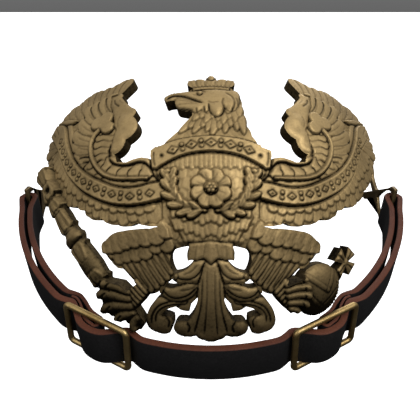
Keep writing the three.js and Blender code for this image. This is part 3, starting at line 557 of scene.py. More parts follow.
# %% Outlines of the tail
UPPER_LEAF = [
    [0, -17], [5.9, -17.5, -1.1], [12.9, -21.9, 0], [14.4, -23.6], [11, -25.9, -0.6],
    [5.5, -25.4], [0, -24],
]
MIDDLE_LEAF = [
    [0, -23], [5, -24.8], [11, -26.3, -0.6], [16.2, -27], [17.6, -26], [18.4, -28.6, 1.3],
    [11.6, -32.2, 0.8], [5.6, -29], [0, -28],
]
LOWER_LEAF = [
    [0, -26], [5, -28.4], [9.6, -30.6], [14, -33.8, 0], [11.2, -35.8, 0.2], [7.8, -36.3],
    [7.4, -33.7], [4.7, -30.8], [0, -30],
]
OUTER_SCROLL = [
    [8, -31], [19, -31.2, 1], [24.6, -40.6, 1.5], [20.4, -45.8, 0.7], [15.4, -45.4, 0.6],
    [14.2, -39.2, 0.3], [18.4, -38.1, -0.6], [13.6, -34.9], [9, -33],
]
FAN = [
    [0, -17], [2, -18], [4.2, -26], [4.7, -31, -0.9], [8.7, -40.3, 0], [9.3, -40],
    [12, -40.1, 1.5], [12.8, -45.6, 1], [5.6, -46.1, 0.4], [2.4, -48.2, 0.3], [0, -48.8],
]
LEAVES = (      # outline, low, high, edge, crevice, lines, humps: from the lowest leaf up
    (LOWER_LEAF, 0.2, 0.8, 1.6, 0.8,
     ([[[5, -28.6], [9, -31.4], [11.4, -34.6]], 0.45, 0.25, 0.7],), ()),
    (OUTER_SCROLL, 0.2, 1.2, 2.2, 0.8,
     ([[[10, -32.6], [15, -32.8], [19.4, -34.8], [21.8, -38.4], [22.4, -41.4]], 0.5, 0.35, 0.95],
      [[[10, -33.6], [14.4, -33.9], [18, -35.4], [20.2, -38], [20.6, -41]], 0.45, 0.3, 0.8],
      [[[18.4, -38.2], [16.6, -38.8], [15.4, -40.8], [16, -43]], 0.45, 0.25, 0.7]),
     ([18.6, -42.2, 2.2, 0.7],)),
    (MIDDLE_LEAF, 0.5, 1.4, 1.6, 1.0,
     ([[[5, -27], [8, -29.8], [11.6, -31], [15, -30.4], [17.2, -28.2]], 0.5, 0.35, 0.95],
      [[[4.2, -25.6], [7.4, -27.6], [10.8, -28.2]], 0.4, 0.2, 0.6]),
     ([12.8, -29.4, 1.8, 0.35],)),
    (UPPER_LEAF, 0.8, 1.8, 1.7, 1.1,
     ([[[2.6, -19], [4.4, -22.2], [7.2, -23.9], [10.6, -23.9], [13, -22.9]], 0.5, 0.35, 0.95],
      [[[4.6, -18.8], [6.6, -21], [9.6, -22.4]], 0.4, 0.2, 0.6]), ()),
)
print("leaves to a side:", len(LEAVES))

# %% Tail


def whole(half):
    """A half outline, from the middle line round to it again, with its mirror image."""
    right = outline(half)
    return np.vstack([right, right[::-1] * (-1, 1)])


def tail():
    """Leaves to each side of the stem, each over the last, then the stem itself."""
    for side in (-1, 1):
        for ring, low, high, wide, crevice, lines, hump in LEAVES:
            pillow(outline(ring, side), low, high, wide, crevice, widen=True)
            grooves(lines, side)
            for out, up, spread, rise in hump:
                swell(out, up, spread, rise, side)
        # the link between the leaves and the thigh
        tube([[12.6, -23], [14.8, -24], [16.8, -25.6], [18.4, -28.6]], 1.1, 1.1, 1.9, side, 0.7)
    pillow(whole(FAN), 0.4, 1.6, 2.2, 1.0, widen=True)
    for side in (-1, 1):
        grooves(([[[1.4, -21], [1.5, -32], [2.4, -45]], 0.4, 0.25, 0.5],
                 [[[2.9, -24], [3.6, -34], [6, -44.4]], 0.45, 0.3, 0.7],
                 [[[8.8, -40.6], [7.8, -42.2], [8.4, -44.4]], 0.45, 0.3, 0.8]), side)
        swell(10.6, -43, 1.9, 0.7, side)
        swell(4.4, -46, 1.4, 0.4, side)


tail()
laid("tail")

# %% [markdown]
# A thigh is a rounded cushion. Narrow quills run down it, and two rows of broad feathers lie
# over their roots. The shin below is a row of small scales.

# %% Outline and feathers of the thigh
THIGH = [
    [8, -3], [16.8, -5.5], [22, -6.6, 0.3], [31.6, -7.2, 0.8], [38.4, -10.4, 0.9],
    [40.4, -13.8, 0.3], [37.3, -18.2], [34.2, -20.7], [32, -20.9], [26.9, -26.2],
    [31.2, -29.6], [34, -33], [31, -39], [28.4, -36.6, 0.5], [22.9, -30.3, 0.3], [19, -29.2],
    [16.3, -26.6], [13.2, -23.8], [12.7, -21.8, -0.3], [14.1, -16.9, -0.8], [11.4, -13.3],
    [7.2, -12.4],
]
QUILLS = [      # root, tip
    [[16.6, -13], [12.9, -20.6]], [[18.9, -13.4], [13.6, -22.6]], [[21.2, -14], [14.8, -24.6]],
    [[23.6, -15], [16.8, -26.4]], [[25.8, -16], [18.8, -28]], [[28.2, -17], [21, -29.2]],
    [[30.4, -17.8], [23.2, -29.2]], [[32.8, -18.4], [25.2, -28.2]], [[35.2, -18.8], [27.4, -27]],
]
LOWER_ROW = [
    [[37.6, -12], [36, -17.4]], [[35, -13], [33.4, -19.4]], [[32, -13], [30, -18.6]],
    [[28.4, -12.4], [26.4, -18.2]], [[24.6, -12], [22.8, -17.4]], [[20.6, -11], [19, -15.2]],
    [[16.6, -10], [15, -14.8]],
]
UPPER_ROW = [
    [[39.6, -12], [38.4, -15.6]], [[37.6, -10.6], [36, -15.4]], [[35, -9.2], [33, -15]],
    [[32, -8.4], [29.8, -13.9]], [[28.4, -8], [26.4, -13.2]], [[24.4, -7.4], [22.4, -12.8]],
    [[20.2, -6.6], [18.6, -12.2]], [[16.4, -5.6], [15.4, -10]],
]
print("thigh:", len(QUILLS), "quills,", len(LOWER_ROW) + len(UPPER_ROW), "broad feathers")

# %% Thighs


def thigh(side):
    """A rounded thigh: narrow feathers below, two rows of broad ones over them, and the shin."""
    ring = outline(THIGH, side)
    place, deep = inside(ring)
    _, x, y = patch(ring, 1.5)
    hump = np.clip(1 - ((side * x - 26) / 16) ** 2, 0, 1) * np.clip(1 - ((y + 14) / 13) ** 2, 0, 1)
    lay(place, deep, 0.5 + hump - shoulder(deep, 1.2, 0.6), 0.7, widen=True)
    # long narrow feathers run down towards the tail
    for a, b in np.array(QUILLS):
        feather_row([(a, b)], side, 1.1, 1.3, 0.5, wide=2.7, crown=0.15, crevice=0.7, taper=1)
        groove([a + (0.3, -1.4), (a + b) / 2 + (0.2, 0), b + (0.8, 1.4)], 0.4, 0.15, 0.6, side)
    for row, wide, low, high in ((LOWER_ROW, 4.9, 1.3, 1.75), (UPPER_ROW, 5.3, 1.7, 2.3)):
        feather_row(row, side, low, high, -0.7, wide=wide, crown=0.3, vein=0.25, crevice=0.7,
                    point=0.9, taper=0.85, dark=0.65)
    # painted shade: the thigh turns downward, so it is painted darker all over
    patina_and_shade[place] += 0.11 * (deep > 0)
    # the shin, with its scales
    for k in range(7):
        spot = np.array([25.4 + 1.15 * k, -27.2 - 1.35 * k])
        tube([spot + (-1.8, -2.2), spot + (0.2, 0), spot + (1.6, 1.8)], 0.85, 1.1, 1.7, side, 0.55)


for side in (-1, 1):
    thigh(side)
laid("thighs")

# %% [markdown]
# The head looks to the left in profile. The neck's locks are rows of pointed feathers, and the
# skull with its beak is one low pillow with fine engraved lines for the mouth, brow and cheek.

# %% Outline and lines of the head
HEAD = [
    [-21.4, 20.6], [-16.4, 24.2], [-11.4, 29], [-6.8, 35], [-7, 37.1, 0.2], [-12, 38.3, 0.3],
    [-13.4, 41, 0], [-13.8, 42.6, -0.2], [-17.2, 42, 0.2], [-18.2, 44.2, 0.5],
    [-13.4, 46.8, 0.2], [-7, 48], [-5, 50], [5, 50], [9.6, 47.6, 0.2], [11.4, 43.6, 0.3],
    [11.6, 39.6, 0.4], [12.3, 36, 0.5], [13, 31, 0.4], [14.6, 26.6, 0.3], [17.4, 21.8],
    [21, 19.6], [10, 20.5], [-10, 20.5],
]
HACKLES = [     # roots, tips, how many, how wide, how high, how dark: the pointed locks of the neck
    ([[-12, 30], [-4, 31], [4, 31], [12, 30]], [[-20.6, 18.4], [-6.6, 20], [6.6, 20], [19, 18.6]],
     10, 4.4, 1.0, 0.21),
    ([[-5.6, 38], [-1, 38], [4, 38], [10, 38]],
     [[-12.6, 27.8], [-5, 26.2], [4.6, 26.4], [13, 27.2]], 11, 2.9, 1.35, 0.595),
    ([[-3.6, 41], [0, 41], [4, 41], [10, 41.4]],
     [[-7.6, 32.8], [-2.2, 30.6], [4, 30.8], [12, 31.6]], 9, 2.8, 1.6, 0.49),
]
CHEEK_LINES = (     # points, width, depth, darkness
    [[[-0.9, 40], [-0.5, 36.6], [1, 34.4], [2.8, 34.1], [4.4, 35.8], [4.9, 39]], 0.5, 0.25, 0.95],
    [[[4.6, 42.4], [4.2, 40], [5.2, 37.6]], 0.5, 0.25, 0.7],
    [[[-1.2, 41], [0.4, 40.2], [2.8, 40.6]], 0.5, 0.25, 0.4],
    [[[5.4, 45.4], [7.8, 43.4], [8.7, 40.4], [8.1, 37.4]], 0.5, 0.25, 0.7],
    [[[5, 36.4], [6.2, 35.4], [7.6, 36.8], [8, 38.4]], 0.5, 0.25, 0.8],
    [[[-2.6, 38.6], [-2.2, 36.2], [-1, 35.4]], 0.5, 0.25, 0.8],
    [[[-5.4, 38], [-5, 35.8], [-4, 34.8]], 0.5, 0.25, 0.7],
    [[[9.4, 43], [10.2, 40.6], [9.8, 38]], 0.5, 0.25, 0.6],
)
BEAK_LINES = (
    [[[-8.4, 46.6], [-6, 46.7], [-3.4, 46.4], [-2, 45.4]], 0.45, 0.3, 0.8],
    [[[-7, 44.6], [-5.4, 44], [-3.4, 44.2]], 0.35, 0.2, 0.6],
    [[[-16.8, 43.2], [-15, 44.4], [-12.6, 44.4], [-9, 43.2], [-3.2, 40.2]], 0.75, 0.8, 1],
    [[[-13, 43.4], [-10.6, 42.8], [-5.4, 40.6]], 0.4, 0.3, 0.8],
    [[[-12.4, 42], [-9.4, 41.4], [-6.4, 40.2]], 0.35, 0.2, 0.5],
    [[[-12.6, 40], [-8, 39.9], [-4.6, 39.6]], 0.35, 0.15, 0.4],
)
print("locks of the neck:", sum(row[2] for row in HACKLES))

# %% Head and neck


def head():
    """Neck, its locks, the skull over them, and then the eye and the fine lines."""
    ring = outline(HEAD)
    place, deep = inside(ring)
    lay(place, deep, 1.2 - shoulder(deep, 1.8, 0.9), 0.7, widen=True)
    for roots, tips, count, wide, high, dark in HACKLES:
        fan(roots, tips, count, wide, high - 0.1, high + 0.35, crown=0.2, crevice=0.6, point=5,
            bend=0.7, taper=1, dark=dark, uneven=0.3)
    skull = outline([[-8, 47.2], [0, 48.6], [9.4, 47.6, 0.8], [10.8, 42.6, 0.5], [9.4, 38.4, 0.4],
                     [7.6, 36.6, 0.5], [5.4, 38.2], [4.5, 36, 0.3], [2.8, 34, 0.4],
                     [0.8, 34.6, 0.4], [-0.6, 37.4], [-2, 36, 0.4], [-3.4, 37.4],
                     [-5.2, 36, 0.4], [-7.2, 37.6],
                     [-12, 38.6, 0.3], [-13.6, 41.2], [-13.6, 42.8],
                     [-17.2, 42.2, 0.2], [-18.1, 44.3, 0.5], [-13.4, 46.7]])
    pillow(skull, 1.0, 2.2, 2.6, 0.5)
    swell(2.4, 43.6, 3.6, 0.4)
    for out, up, wide, high in ((2.2, 37.4, 2.4, 0.45), (7, 40.8, 2, 0.3), (-3.6, 38.4, 1.6, 0.2)):
        swell(out, up, wide, high)
    grooves(CHEEK_LINES)
    bead(-4.3, 45.2, 0.95, 2.3, 2.8, 0.6, sink=0.25)
    grooves(BEAK_LINES)


head()
laid("head")

# %% [markdown]
# The breast is the roundest part of the plate: a soft dome with rows of small feathers.

# %% Breast
BODY = [
    [0, 24], [12, 23.5], [20.9, 20.8, 0.2], [20.6, 15.6], [17.6, 13], [16.9, 9], [16.8, -3],
    [15.4, -5], [12.6, -8.4], [11.4, -11.8], [7.4, -12.6, 0.5], [7.9, -17.5, -0.3],
    [5.4, -17.3], [2.6, -16.4, 0], [0, -18.7],
]


def breast(out, up):
    """How much the breast stands out over its edge."""
    return 1.25 * np.clip(1 - (out / 24) ** 2, 0, 1) * np.clip(1 - ((up - 6) / 24) ** 2, 0, 1)


def body():
    """The round breast, and rows of small feathers over it."""
    place, deep = inside(whole(BODY))
    _, x, y = patch(whole(BODY), 1.5)
    lay(place, deep, 0.9 + breast(x, y) - shoulder(deep, 3.2, 1.1), 0.8, widen=True, dark=0.25)
    # rows of breast feathers
    for row, up in enumerate(np.arange(13.4, -1, -3.9)):
        for k in range(-5, 6):
            out = 3.9 * k + (row % 2) * 1.95
            if abs(out) < 16.4:
                lift = breast(out, up)
                feather([out, up + 3.4], [out * 1.01, up - 3.4], 4.3, 0.85 + lift, 1.1 + lift,
                        crown=0.12, crevice=0.5, vein=0.15, taper=0.9, point=1.8, dark=0.22)


body()
laid("breast")

# %% [markdown]
# Ribbons run over the wings and, later, across the top of the breast. They carry a plain running
# ornament of lozenges and pairs of beads, spaced evenly along the ribbon's middle line. Such a
# row could be an array along a curve; here it is part of the relief, so it is laid like the rest.

# %% The running ornament


def lozenge(spot, run, long, wide):
    """The four corners of a lozenge that points along a ribbon."""
    left = np.array([-run[1], run[0]])
    return np.array([spot + run * long, spot + left * wide, spot - run * long, spot - left * wide])


def running_pattern(line, high, count, long=1.7, wide=1.25):
    """Lozenges and pairs of beads by turns along a ribbon."""
    for k, (spot, run) in enumerate(zip(*even(curve(line), count))):
        left = np.array([-run[1], run[0]])
        if k % 2 == 0:
            place, deep = inside(lozenge(spot, run, long, wide), 1)
            lay(place, deep, high + 0.3 * np.clip(deep / 0.6, 0, 1), 0.7, sink=0.25)
            # the sunk middle of each lozenge is painted dark: painted shade in the recess, with
            # patina
            place, deep = inside(lozenge(spot, run, long * 0.42, wide * 0.42), 1)
            patina_and_shade[place] = np.maximum(patina_and_shade[place], (deep > 0) * 0.9)
            relief[place] -= 0.3 * (deep > 0)
        else:
            for hand in (-1, 1):
                bead(*(spot + left * hand * 0.9), 0.65, high, high + 0.35, 0.6, sink=0.25)


# %% Side ribbons
RIBBON_LOW = [
    [82, 42.2], [78, 38.6], [73.5, 34.3], [69.5, 30], [66, 25.3], [62.6, 20.4], [58.9, 16],
    [54.9, 12.4], [50.4, 9], [45, 6.1], [40, 4], [35, 2.6], [30, 2], [25, 2.2], [20, 3],
    [15, 4.4],
]
RIBBON_MIDDLE = [
    [19.2, 6], [24.6, 5.2], [30, 5], [37.5, 6.7], [46, 10.3], [53.4, 15.1], [59.8, 21.4],
    [65.4, 29.2], [69.6, 36.4],
]


def ribbon(side):
    """A side ribbon, its turned-over end and its running ornament."""
    # the end of the ribbon turns over towards the wing's feathers
    end = [[80, 51], [72, 48.6, -0.5], [65, 46, -0.3], [60.4, 43.8], [64, 43.2, 0.3],
           [72, 45.2, 0.3], [80, 48.4]]
    place, deep = inside(outline(end, side))
    lay(place, deep, 1.3 - shoulder(deep, 0.6, 0.3), 0.8, sink=0.2)
    # the ribbon on the left in wear is a little narrower towards its end
    low, middle = curve(RIBBON_LOW), np.array(RIBBON_MIDDLE)
    if side > 0:
        low[:, 0] -= 2.2 * np.clip((low[:, 0] - 56) / 12, 0, 1)
        middle[:, 0] -= 1.1 * np.clip((middle[:, 0] - 56) / 12, 0, 1)
    ring = mirrored(np.vstack([curve(RIBBON_TOP), low]), side)
    place, deep = inside(ring, 2)
    lay(place, deep, 1.7 + 0.15 * np.clip(1.4 - deep / 0.7, 0, 1) - shoulder(deep, 0.3, 0.2), 1.25,
        sink=0.55)
    running_pattern(mirrored(middle, side), 1.7, 17, 1.5, 1.1)
    grooves(([[[78.6, 46.4], [74.6, 42.4], [72.4, 39.6]], 0.45, 0.2, 0.6],
             [[[80.6, 44], [77.4, 41.4], [75, 39.4]], 0.45, 0.2, 0.6]), side)


for side in (-1, 1):
    ribbon(side)
laid("side ribbons")

# %% [markdown]
# Below the breast the belly's feathers end in a small tab over the tail, and above it long
# flutes come out from under the arched ribbon. The small crown belongs to the head.

# %% Belly
BELLY = [       # roots, tips, how many, how wide
    ([[0.6, -7.4], [5, -7], [12, -5.6]], [[0, -13], [3.8, -12.6], [9.4, -11]], 5, 3),
    ([[1.2, -3.2], [8, -2.6], [14.4, -2.2]], [[0, -10.2], [6, -9.6], [12.6, -7]], 7, 3),
    ([[1.2, 1.0], [9, 1.6], [14.6, 2.4]], [[0, -5.8], [7.4, -5], [13.8, -2.6]], 7, 3.1),
]
FLANK = [       # roots, tips, how high
    ([[10.6, -3.4], [14.6, -4.2]], [[9.6, -10.4], [12.8, -10.4]], 0.75),
    ([[12.4, 1], [16.4, 2]], [[11.4, -6.2], [15.4, -4.8]], 0.85),
]


def belly():
    """Rows of feathers that end in a cloth-like tab over the root of the tail."""
    for side in (-1, 1):
        for roots, tips, high in FLANK:
            fan(roots, tips, 3, 3.2, high - 0.2, high, side, -0.6, crown=0.15, point=2.2, dark=0.45)
    for k, row in enumerate(BELLY):
        for side in (-1, 1):
            fan(*row, 1.25 + 0.12 * k, 1.7 + 0.16 * k, side, -0.9, back=True, uneven=0.2,
                crown=0.15, vein=0.2, crevice=0.6, point=2.6, dark=0.4)
    cloth = whole([[0, -10.8], [7.6, -11.6], [7.5, -12.4, 0.2], [7.9, -17.5, -0.3], [5.4, -17.3],
                   [2.6, -16.4, 0], [0, -18.7]])
    place, deep = inside(cloth)
    _, x, y = patch(cloth, 1.5)
    folds = 0.12 * np.cos(x * 1.1) + 0.05 * np.cos(x * 2.7 + 1)
    lay(place, deep, 1.75 + folds - shoulder(deep, 1.0, 0.5), 0.7)
    for side in (-1, 1):
        grooves(([[[1.8, -11.6], [2.2, -14], [2.6, -16]], 0.4, 0.12, 0.35],
                 [[[4.8, -12], [5.2, -14.6], [5.4, -16.8]], 0.4, 0.12, 0.35]), side)


belly()
laid("belly")

# %% Flutes of the breast


def flutes():
    """The long narrow feathers that come out from under the arched ribbon."""
    for k in range(-10, 11):
        out = 1.62 * k
        high = 20.4 - 5 * (out / 17.5) ** 2
        lift = breast(out, 15)
        low_end = 13.4 + 0.7 * (k % 2)
        if high > low_end + 1.5:
            feather([out, high], [out, low_end], 1.8, 1.2 + lift, 1.35 + lift, crown=0.15,
                    crevice=0.5, taper=1, dark=0.38)


flutes()
laid("flutes")

# %% Crown
CROWN = [
    [0, 47.4], [6.6, 47.4], [7.3, 49, -0.3], [9.5, 51.6, 0.3], [9.2, 53.2, 0.4],
    [6.6, 54, 0.1], [2.2, 53.8], [1.9, 55.4, 0.3], [0, 55.9],
]


def crown():
    """Five flutes, a band with beads, and a bead on top."""
    pillow(whole(CROWN), 0.7, 1.7, 1.4, 0.7, widen=True)
    for out, lean, wide in ((-6.8, -9, 4), (6.8, 9, 4), (-3.6, -4.6, 3.2), (3.6, 4.6, 3.2),
                            (0, 0, 3.2)):
        feather([out, 48.6], [lean, 55], wide, 1.5, 1.8, crown=0.25, crevice=0.7, vein=0.3,
                point=0.8, taper=0.8, dark=0.6)
    slab(outline([[-6.9, 46.9], [-7.1, 49, 0.7], [7.1, 49], [6.9, 46.9, -0.7]]), 2.2, 0.4, 0.3, 0.8,
         widen=False)
    groove([[-6.6, 48.2], [0, 48.9], [6.6, 48.2]], 0.35, 0.2, 0.6)
    for k in range(-4, 5):
        bead(1.5 * k, 49.4 - 0.03 * k * k, 0.6, 2.0, 2.5, 0.5)
    bead(0, 54.6, 1.4, 1.4, 2.2, 0.6)


crown()
laid("crown")

# %% [markdown]
# The arched ribbon lies over head and breast, and a rosette between two sprays of laurel fills
# the breast. Petals and leaves are feathers too, with other widths and veins.

# %% Arched ribbon
ARCH_LOW = [
    [-18.6, 14], [-17.2, 15.2], [-9.4, 18.7], [0, 19.9], [9.4, 18.7], [17.2, 15.2], [18.6, 14],
]
ARCH_TOP = [
    [20.4, 14.4], [21.1, 20.8], [18, 22.6], [10, 24.8], [0, 25.7], [-10, 24.8], [-18, 22.6],
    [-21.1, 20.8], [-20.4, 14.4],
]
DOT = (17, 18.6)


def arch():
    """The arched ribbon, with the folds behind its ends and a dot before each end."""
    # the ribbon folds back on itself and comes out again as the side ribbon
    for side in (-1, 1):
        fold = [[21.2, 19], [20.8, 15], [19.6, 12], [17.4, 10], [16.4, 11.4, -0.6], [17.4, 15.6],
                [18.6, 19]]
        place, deep = inside(outline(fold, side))
        lay(place, deep, 1.9 - shoulder(deep, 0.6, 0.3), 0.9, sink=0.35)
        groove([[19.6, 20], [19.6, 16], [18.7, 12.4], [17.6, 10.8]], 0.6, 0.4, 1.0, side)
    ring = np.vstack([curve(ARCH_LOW), curve(ARCH_TOP)])
    place, deep = inside(ring, 2)
    _, x, y = patch(ring, 2)
    high = 2.3 + 0.6 * np.clip(1 - (x / 21) ** 2, 0, 1)
    raised_edge = 0.15 * np.clip(1.4 - deep / 0.7, 0, 1)
    lay(place, deep, high - shoulder(deep, 0.35, 0.2) + raised_edge, 1.1, sink=0.5)
    line = [[-14.6, 19.9], [-8, 21.9], [0, 22.8], [8, 21.9], [14.6, 19.9]]
    running_pattern(line, 2.85, 9, 1.9, 1.4)
    for side in (-1, 1):
        groove([[19.9, 20.2], [19.9, 17.6], [19.2, 15]], 0.45, 0.3, 0.9, side)
        out, up = side * DOT[0], DOT[1]
        # each dot is a sunk pit painted dark: painted shade in the pit
        place, x, y = patch(np.array([[out, up]]), 1.5)
        dot = np.clip(1.5 - np.hypot(x - out, y - up) / 0.75, 0, 1)
        relief[place] -= 0.45 * dot
        patina_and_shade[place] = np.maximum(patina_and_shade[place], dot)


arch()
laid("arched ribbon")

# %% Rosette and laurel
STALK = [[2, -0.6], [8.6, 0.4], [13, 4.8], [14.2, 11.6]]
ROSE, PETALS = np.array([0.0, 7.0]), 8


def ornament():
    """A rosette between two sprays of laurel."""
    for side in (-1, 1):
        tube(STALK, 0.5, 2.2, 2.9, side, 0.9, sink=0.3)
        spots, runs = even(curve(mirrored(STALK, side)), 6)
        for spot, run in zip(spots, runs):
            left = np.array([-run[1], run[0]])
            for hand in (-1, 1):
                feather(spot + left * hand * 0.3, spot + 4.2 * run + hand * 2.5 * left, 2.5, 2.9,
                        3.5, crown=0.2, vein=0.5, crevice=0.9, taper=0.5, point=1.8, dark=1.1)
        bead(side * 14.6, 13.2, 0.9, 2.3, 3.1, 0.7)
    for k in range(PETALS):
        turn = 2 * np.pi / PETALS * (k + 0.5)
        way = np.array([np.cos(turn), np.sin(turn)])
        feather(ROSE + 0.8 * way, ROSE + 7 * way, 4.9, 2.9, 3.5, crown=0.25, vein=0.5,
                crevice=0.9, taper=0.35, point=0.9)
    bead(*ROSE, 2.2, 3.2, 4.2, 0.7, sink=0.2)
    for k in range(6):
        turn = np.pi / 3 * k
        bead(1.25 * np.cos(turn), ROSE[1] + 1.25 * np.sin(turn), 0.6, 3.8, 4.3, 0.45)


ornament()
laid("rosette and laurel")

# %% [markdown]
# One foot holds an orb with a small cross, the other a sceptre. The sceptre is turned work, so
# its half width is a table along its length; leaves wrap its swellings and stand out a little
# from its edge.

# %% Cross and orb
CROSS = dict(out=55.2, up=-19.6, arm=5.8, tip=3.1, waist=1.1, turn=55, stem=8.8)
ORB = dict(out=42.6, up=-30.4, radius=10.9, high=2.9)
HOOPS = (
    [[33.2, -23.6], [36, -24], [41.6, -27.4], [45, -29.4]],
    [[45, -29.4], [46.6, -25.6], [48, -21.4]],
    [[32.4, -28.6], [36.6, -31.4], [41, -35], [43.2, -36.6]],
    [[43.2, -36.6], [46.6, -33.6], [50, -30.4]],
)


def cross():
    """Four flared arms, each with a line engraved along it."""
    spots = []
    middle = np.array([CROSS["out"], CROSS["up"]])
    for k in range(4):
        way = np.radians(CROSS["turn"] + 90 * k)
        run, left = np.array([np.cos(way), np.sin(way)]), np.array([-np.sin(way), np.cos(way)])
        long = CROSS["stem"] if k == 2 else CROSS["arm"]
        waist, tip = CROSS["waist"], CROSS["tip"]
        for a, b in ((waist, -waist), (long, -tip), (long, tip)):
            spots.append(middle + a * run + b * left)
    place, deep = inside(np.array(spots))
    lay(place, deep, 0.3 + 0.8 * np.clip(deep / 1.1, 0, 1), 0.7, widen=True)
    for k in range(4):
        way = np.radians(CROSS["turn"] + 90 * k)
        run = np.array([np.cos(way), np.sin(way)])
        groove([middle + 1.2 * run, middle + 3 * run, middle + 5.4 * run], 0.6, 0.45, 0.85)


def orb():
    """A ball with two hoops round it and a row of beads beside the claws."""
    out, up, radius, high = ORB["out"], ORB["up"], ORB["radius"], ORB["high"]
    bead(out, up, radius, -0.6, high, 0.9, widen=True)
    place, x, y = patch(np.array([[out, up]]), radius)
    # the whole orb is painted darker
    patina_and_shade[place] += 0.4 * (np.hypot(x - out, y - up) < radius)
    # a hoop is two fine lines with a raised strip between them
    for line in HOOPS:
        place, gap, _, _ = follow(curve(line), 2)
        relief[place] += 0.15 * np.clip(1.6 - gap / 0.7, 0, 1)
        # the two fine lines are painted dark: painted shade, with patina
        patina_and_shade[place] = np.maximum(patina_and_shade[place], 0.9 * np.clip(1.4 - np.abs(gap - 1.1) / 0.35, 0, 1))
        patina_and_shade[place] = np.maximum(patina_and_shade[place], 0.4 * np.clip(1 - gap / 0.35, 0, 1))
    for k in range(9):
        turn = np.radians(25 - 9 * k)
        bead(out + 8.8 * np.cos(turn), up + 8.8 * np.sin(turn), 0.5, 1.0, 2.3, 0.4)
    for reach in (7.9, 9.7):
        ring = [[out + reach * np.cos(np.radians(a)), up + reach * np.sin(np.radians(a))]
                for a in range(30, -60, -10)]
        groove(ring, 0.35, 0.15, 0.6)


cross()
orb()
laid("orb and cross")

# %% The sceptre's turned shape: millimetres from its head, half its width
SCEPTRE_ROWS = np.array([
    [0, 3.6], [1.2, 4.6], [2.5, 5.2], [5, 5.1], [9, 4], [10.6, 3.9], [12.4, 4.9], [15, 5.3],
    [18, 5], [20, 3.9], [22, 4.9], [24, 4.9], [26.4, 3.8], [30, 4.3], [33, 4.4], [36, 3.7],
    [38.4, 4.2], [40, 5.4], [41.5, 5.3], [43, 4.2], [46, 4.7], [50, 5.3], [55, 5.6], [59, 5.1],
    [61, 4.6], [63, 3.3], [65, 4], [67, 4], [68.6, 3.2], [74, 3.1], [80, 3.4], [84.4, 1.8],
])
LEAF_TIPS = (3.2, 17.8, 25.2, 34.8, 44.4, 60.6, 70.6, 76)   # where leaves stand out
SCEPTRE_HEAD, SCEPTRE_FOOT = np.array([-79.4, 22.2]), np.array([-28.8, -44.6])
SHAFT_LENGTH = np.hypot(*(SCEPTRE_FOOT - SCEPTRE_HEAD))
SHAFT_RUN = (SCEPTRE_FOOT - SCEPTRE_HEAD) / SHAFT_LENGTH
SLIM = 0.94
HOLE = (-70.6, 11)


def on_sceptre(along, off):
    """The spot so far down the shaft from its head, and so far to its side."""
    return SCEPTRE_HEAD + along * SHAFT_RUN + off * np.array([-SHAFT_RUN[1], SHAFT_RUN[0]])


print("sceptre:", round(float(SHAFT_LENGTH), 1), "mm long")

# %% Sceptre


def sceptre():
    """The turned shaft, the acanthus leaves round its swellings, and a ring at each waist."""
    place, x, y = patch(np.array([SCEPTRE_HEAD, SCEPTRE_FOOT]), 8)
    run, length = SHAFT_RUN, SHAFT_LENGTH
    along = (x - SCEPTRE_HEAD[0]) * run[0] + (y - SCEPTRE_HEAD[1]) * run[1]
    off = (x - SCEPTRE_HEAD[0]) * -run[1] + (y - SCEPTRE_HEAD[1]) * run[0]
    half = SLIM * np.interp(along, *SCEPTRE_ROWS.T)
    for station in LEAF_TIPS:
        half = half + np.clip(1 - np.abs(along - station) / 1.3, 0, 1)
    deep = np.minimum(half - np.abs(off), np.minimum(along, length - along))
    high = 1.6 - 2.7 * along / length + 0.62 * np.sqrt(np.clip(half**2 - off**2, 0, None))
    lay(place, deep, high, 0.9, widen=True)
    shaft, one_side, on_shaft = place, np.clip(off / half, -1, 1), deep > 0
    # painted shade: the shaft is painted darker all over, most at its waists, where it curves in
    bend = np.gradient(np.gradient(SCEPTRE_ROWS[:, 1], SCEPTRE_ROWS[:, 0]), SCEPTRE_ROWS[:, 0])
    waist = np.interp(along, SCEPTRE_ROWS[:, 0], bend)
    patina_and_shade[place] = np.maximum(patina_and_shade[place], (deep > 0) * np.clip(waist * 1.4, 0.42, 0.95))

    def on(station, across, lift):
        wide = np.interp(station, *SCEPTRE_ROWS.T)
        return 1.6 - 2.7 * station / length + 0.62 * np.sqrt(max(wide**2 - across**2, 0)) + lift

    for first, last, wide in ((9.5, 1.5, 3.0), (10.5, 19, 3.4), (21, 26, 2.8), (27, 36, 2.8),
                              (50, 43.4, 2.8), (57, 61.4, 3)):
        for k in range(3):
            share = (k + 0.5) / 3 * 2 - 1
            a, b = on_sceptre(first, share * 2.6), on_sceptre(last, share * 3.9)
            feather(a, b, wide, on(first, share * 2.6, 0), on(last, share * 3.9, 0.3), crown=0.15,
                    vein=0.3, crevice=0.7, point=1.6)
    # painted shade: one side of the shaft is painted darker than the other
    patina_and_shade[shaft] += (0.16 + 0.16 * one_side) * on_shaft
    # a round hole near its upper end, painted dark inside as painted shade
    place, x, y = patch(np.array([HOLE]), 3)
    pit = np.clip(1.5 * (1 - np.hypot(x - HOLE[0], y - HOLE[1]) / 2.3), 0, 1)
    relief[place] -= 1.2 * pit
    patina_and_shade[place] = np.maximum(patina_and_shade[place], 1.6 * pit)
    for station in (9.6, 20, 26.8, 36.8, 42.6, 61.6, 64.2, 67.8):
        wide = np.interp(station, *SCEPTRE_ROWS.T)
        groove([on_sceptre(station, -wide), on_sceptre(station + 0.5, 0),
                on_sceptre(station, wide)], 0.55, 0.3, 0.95)


sceptre()
laid("sceptre")

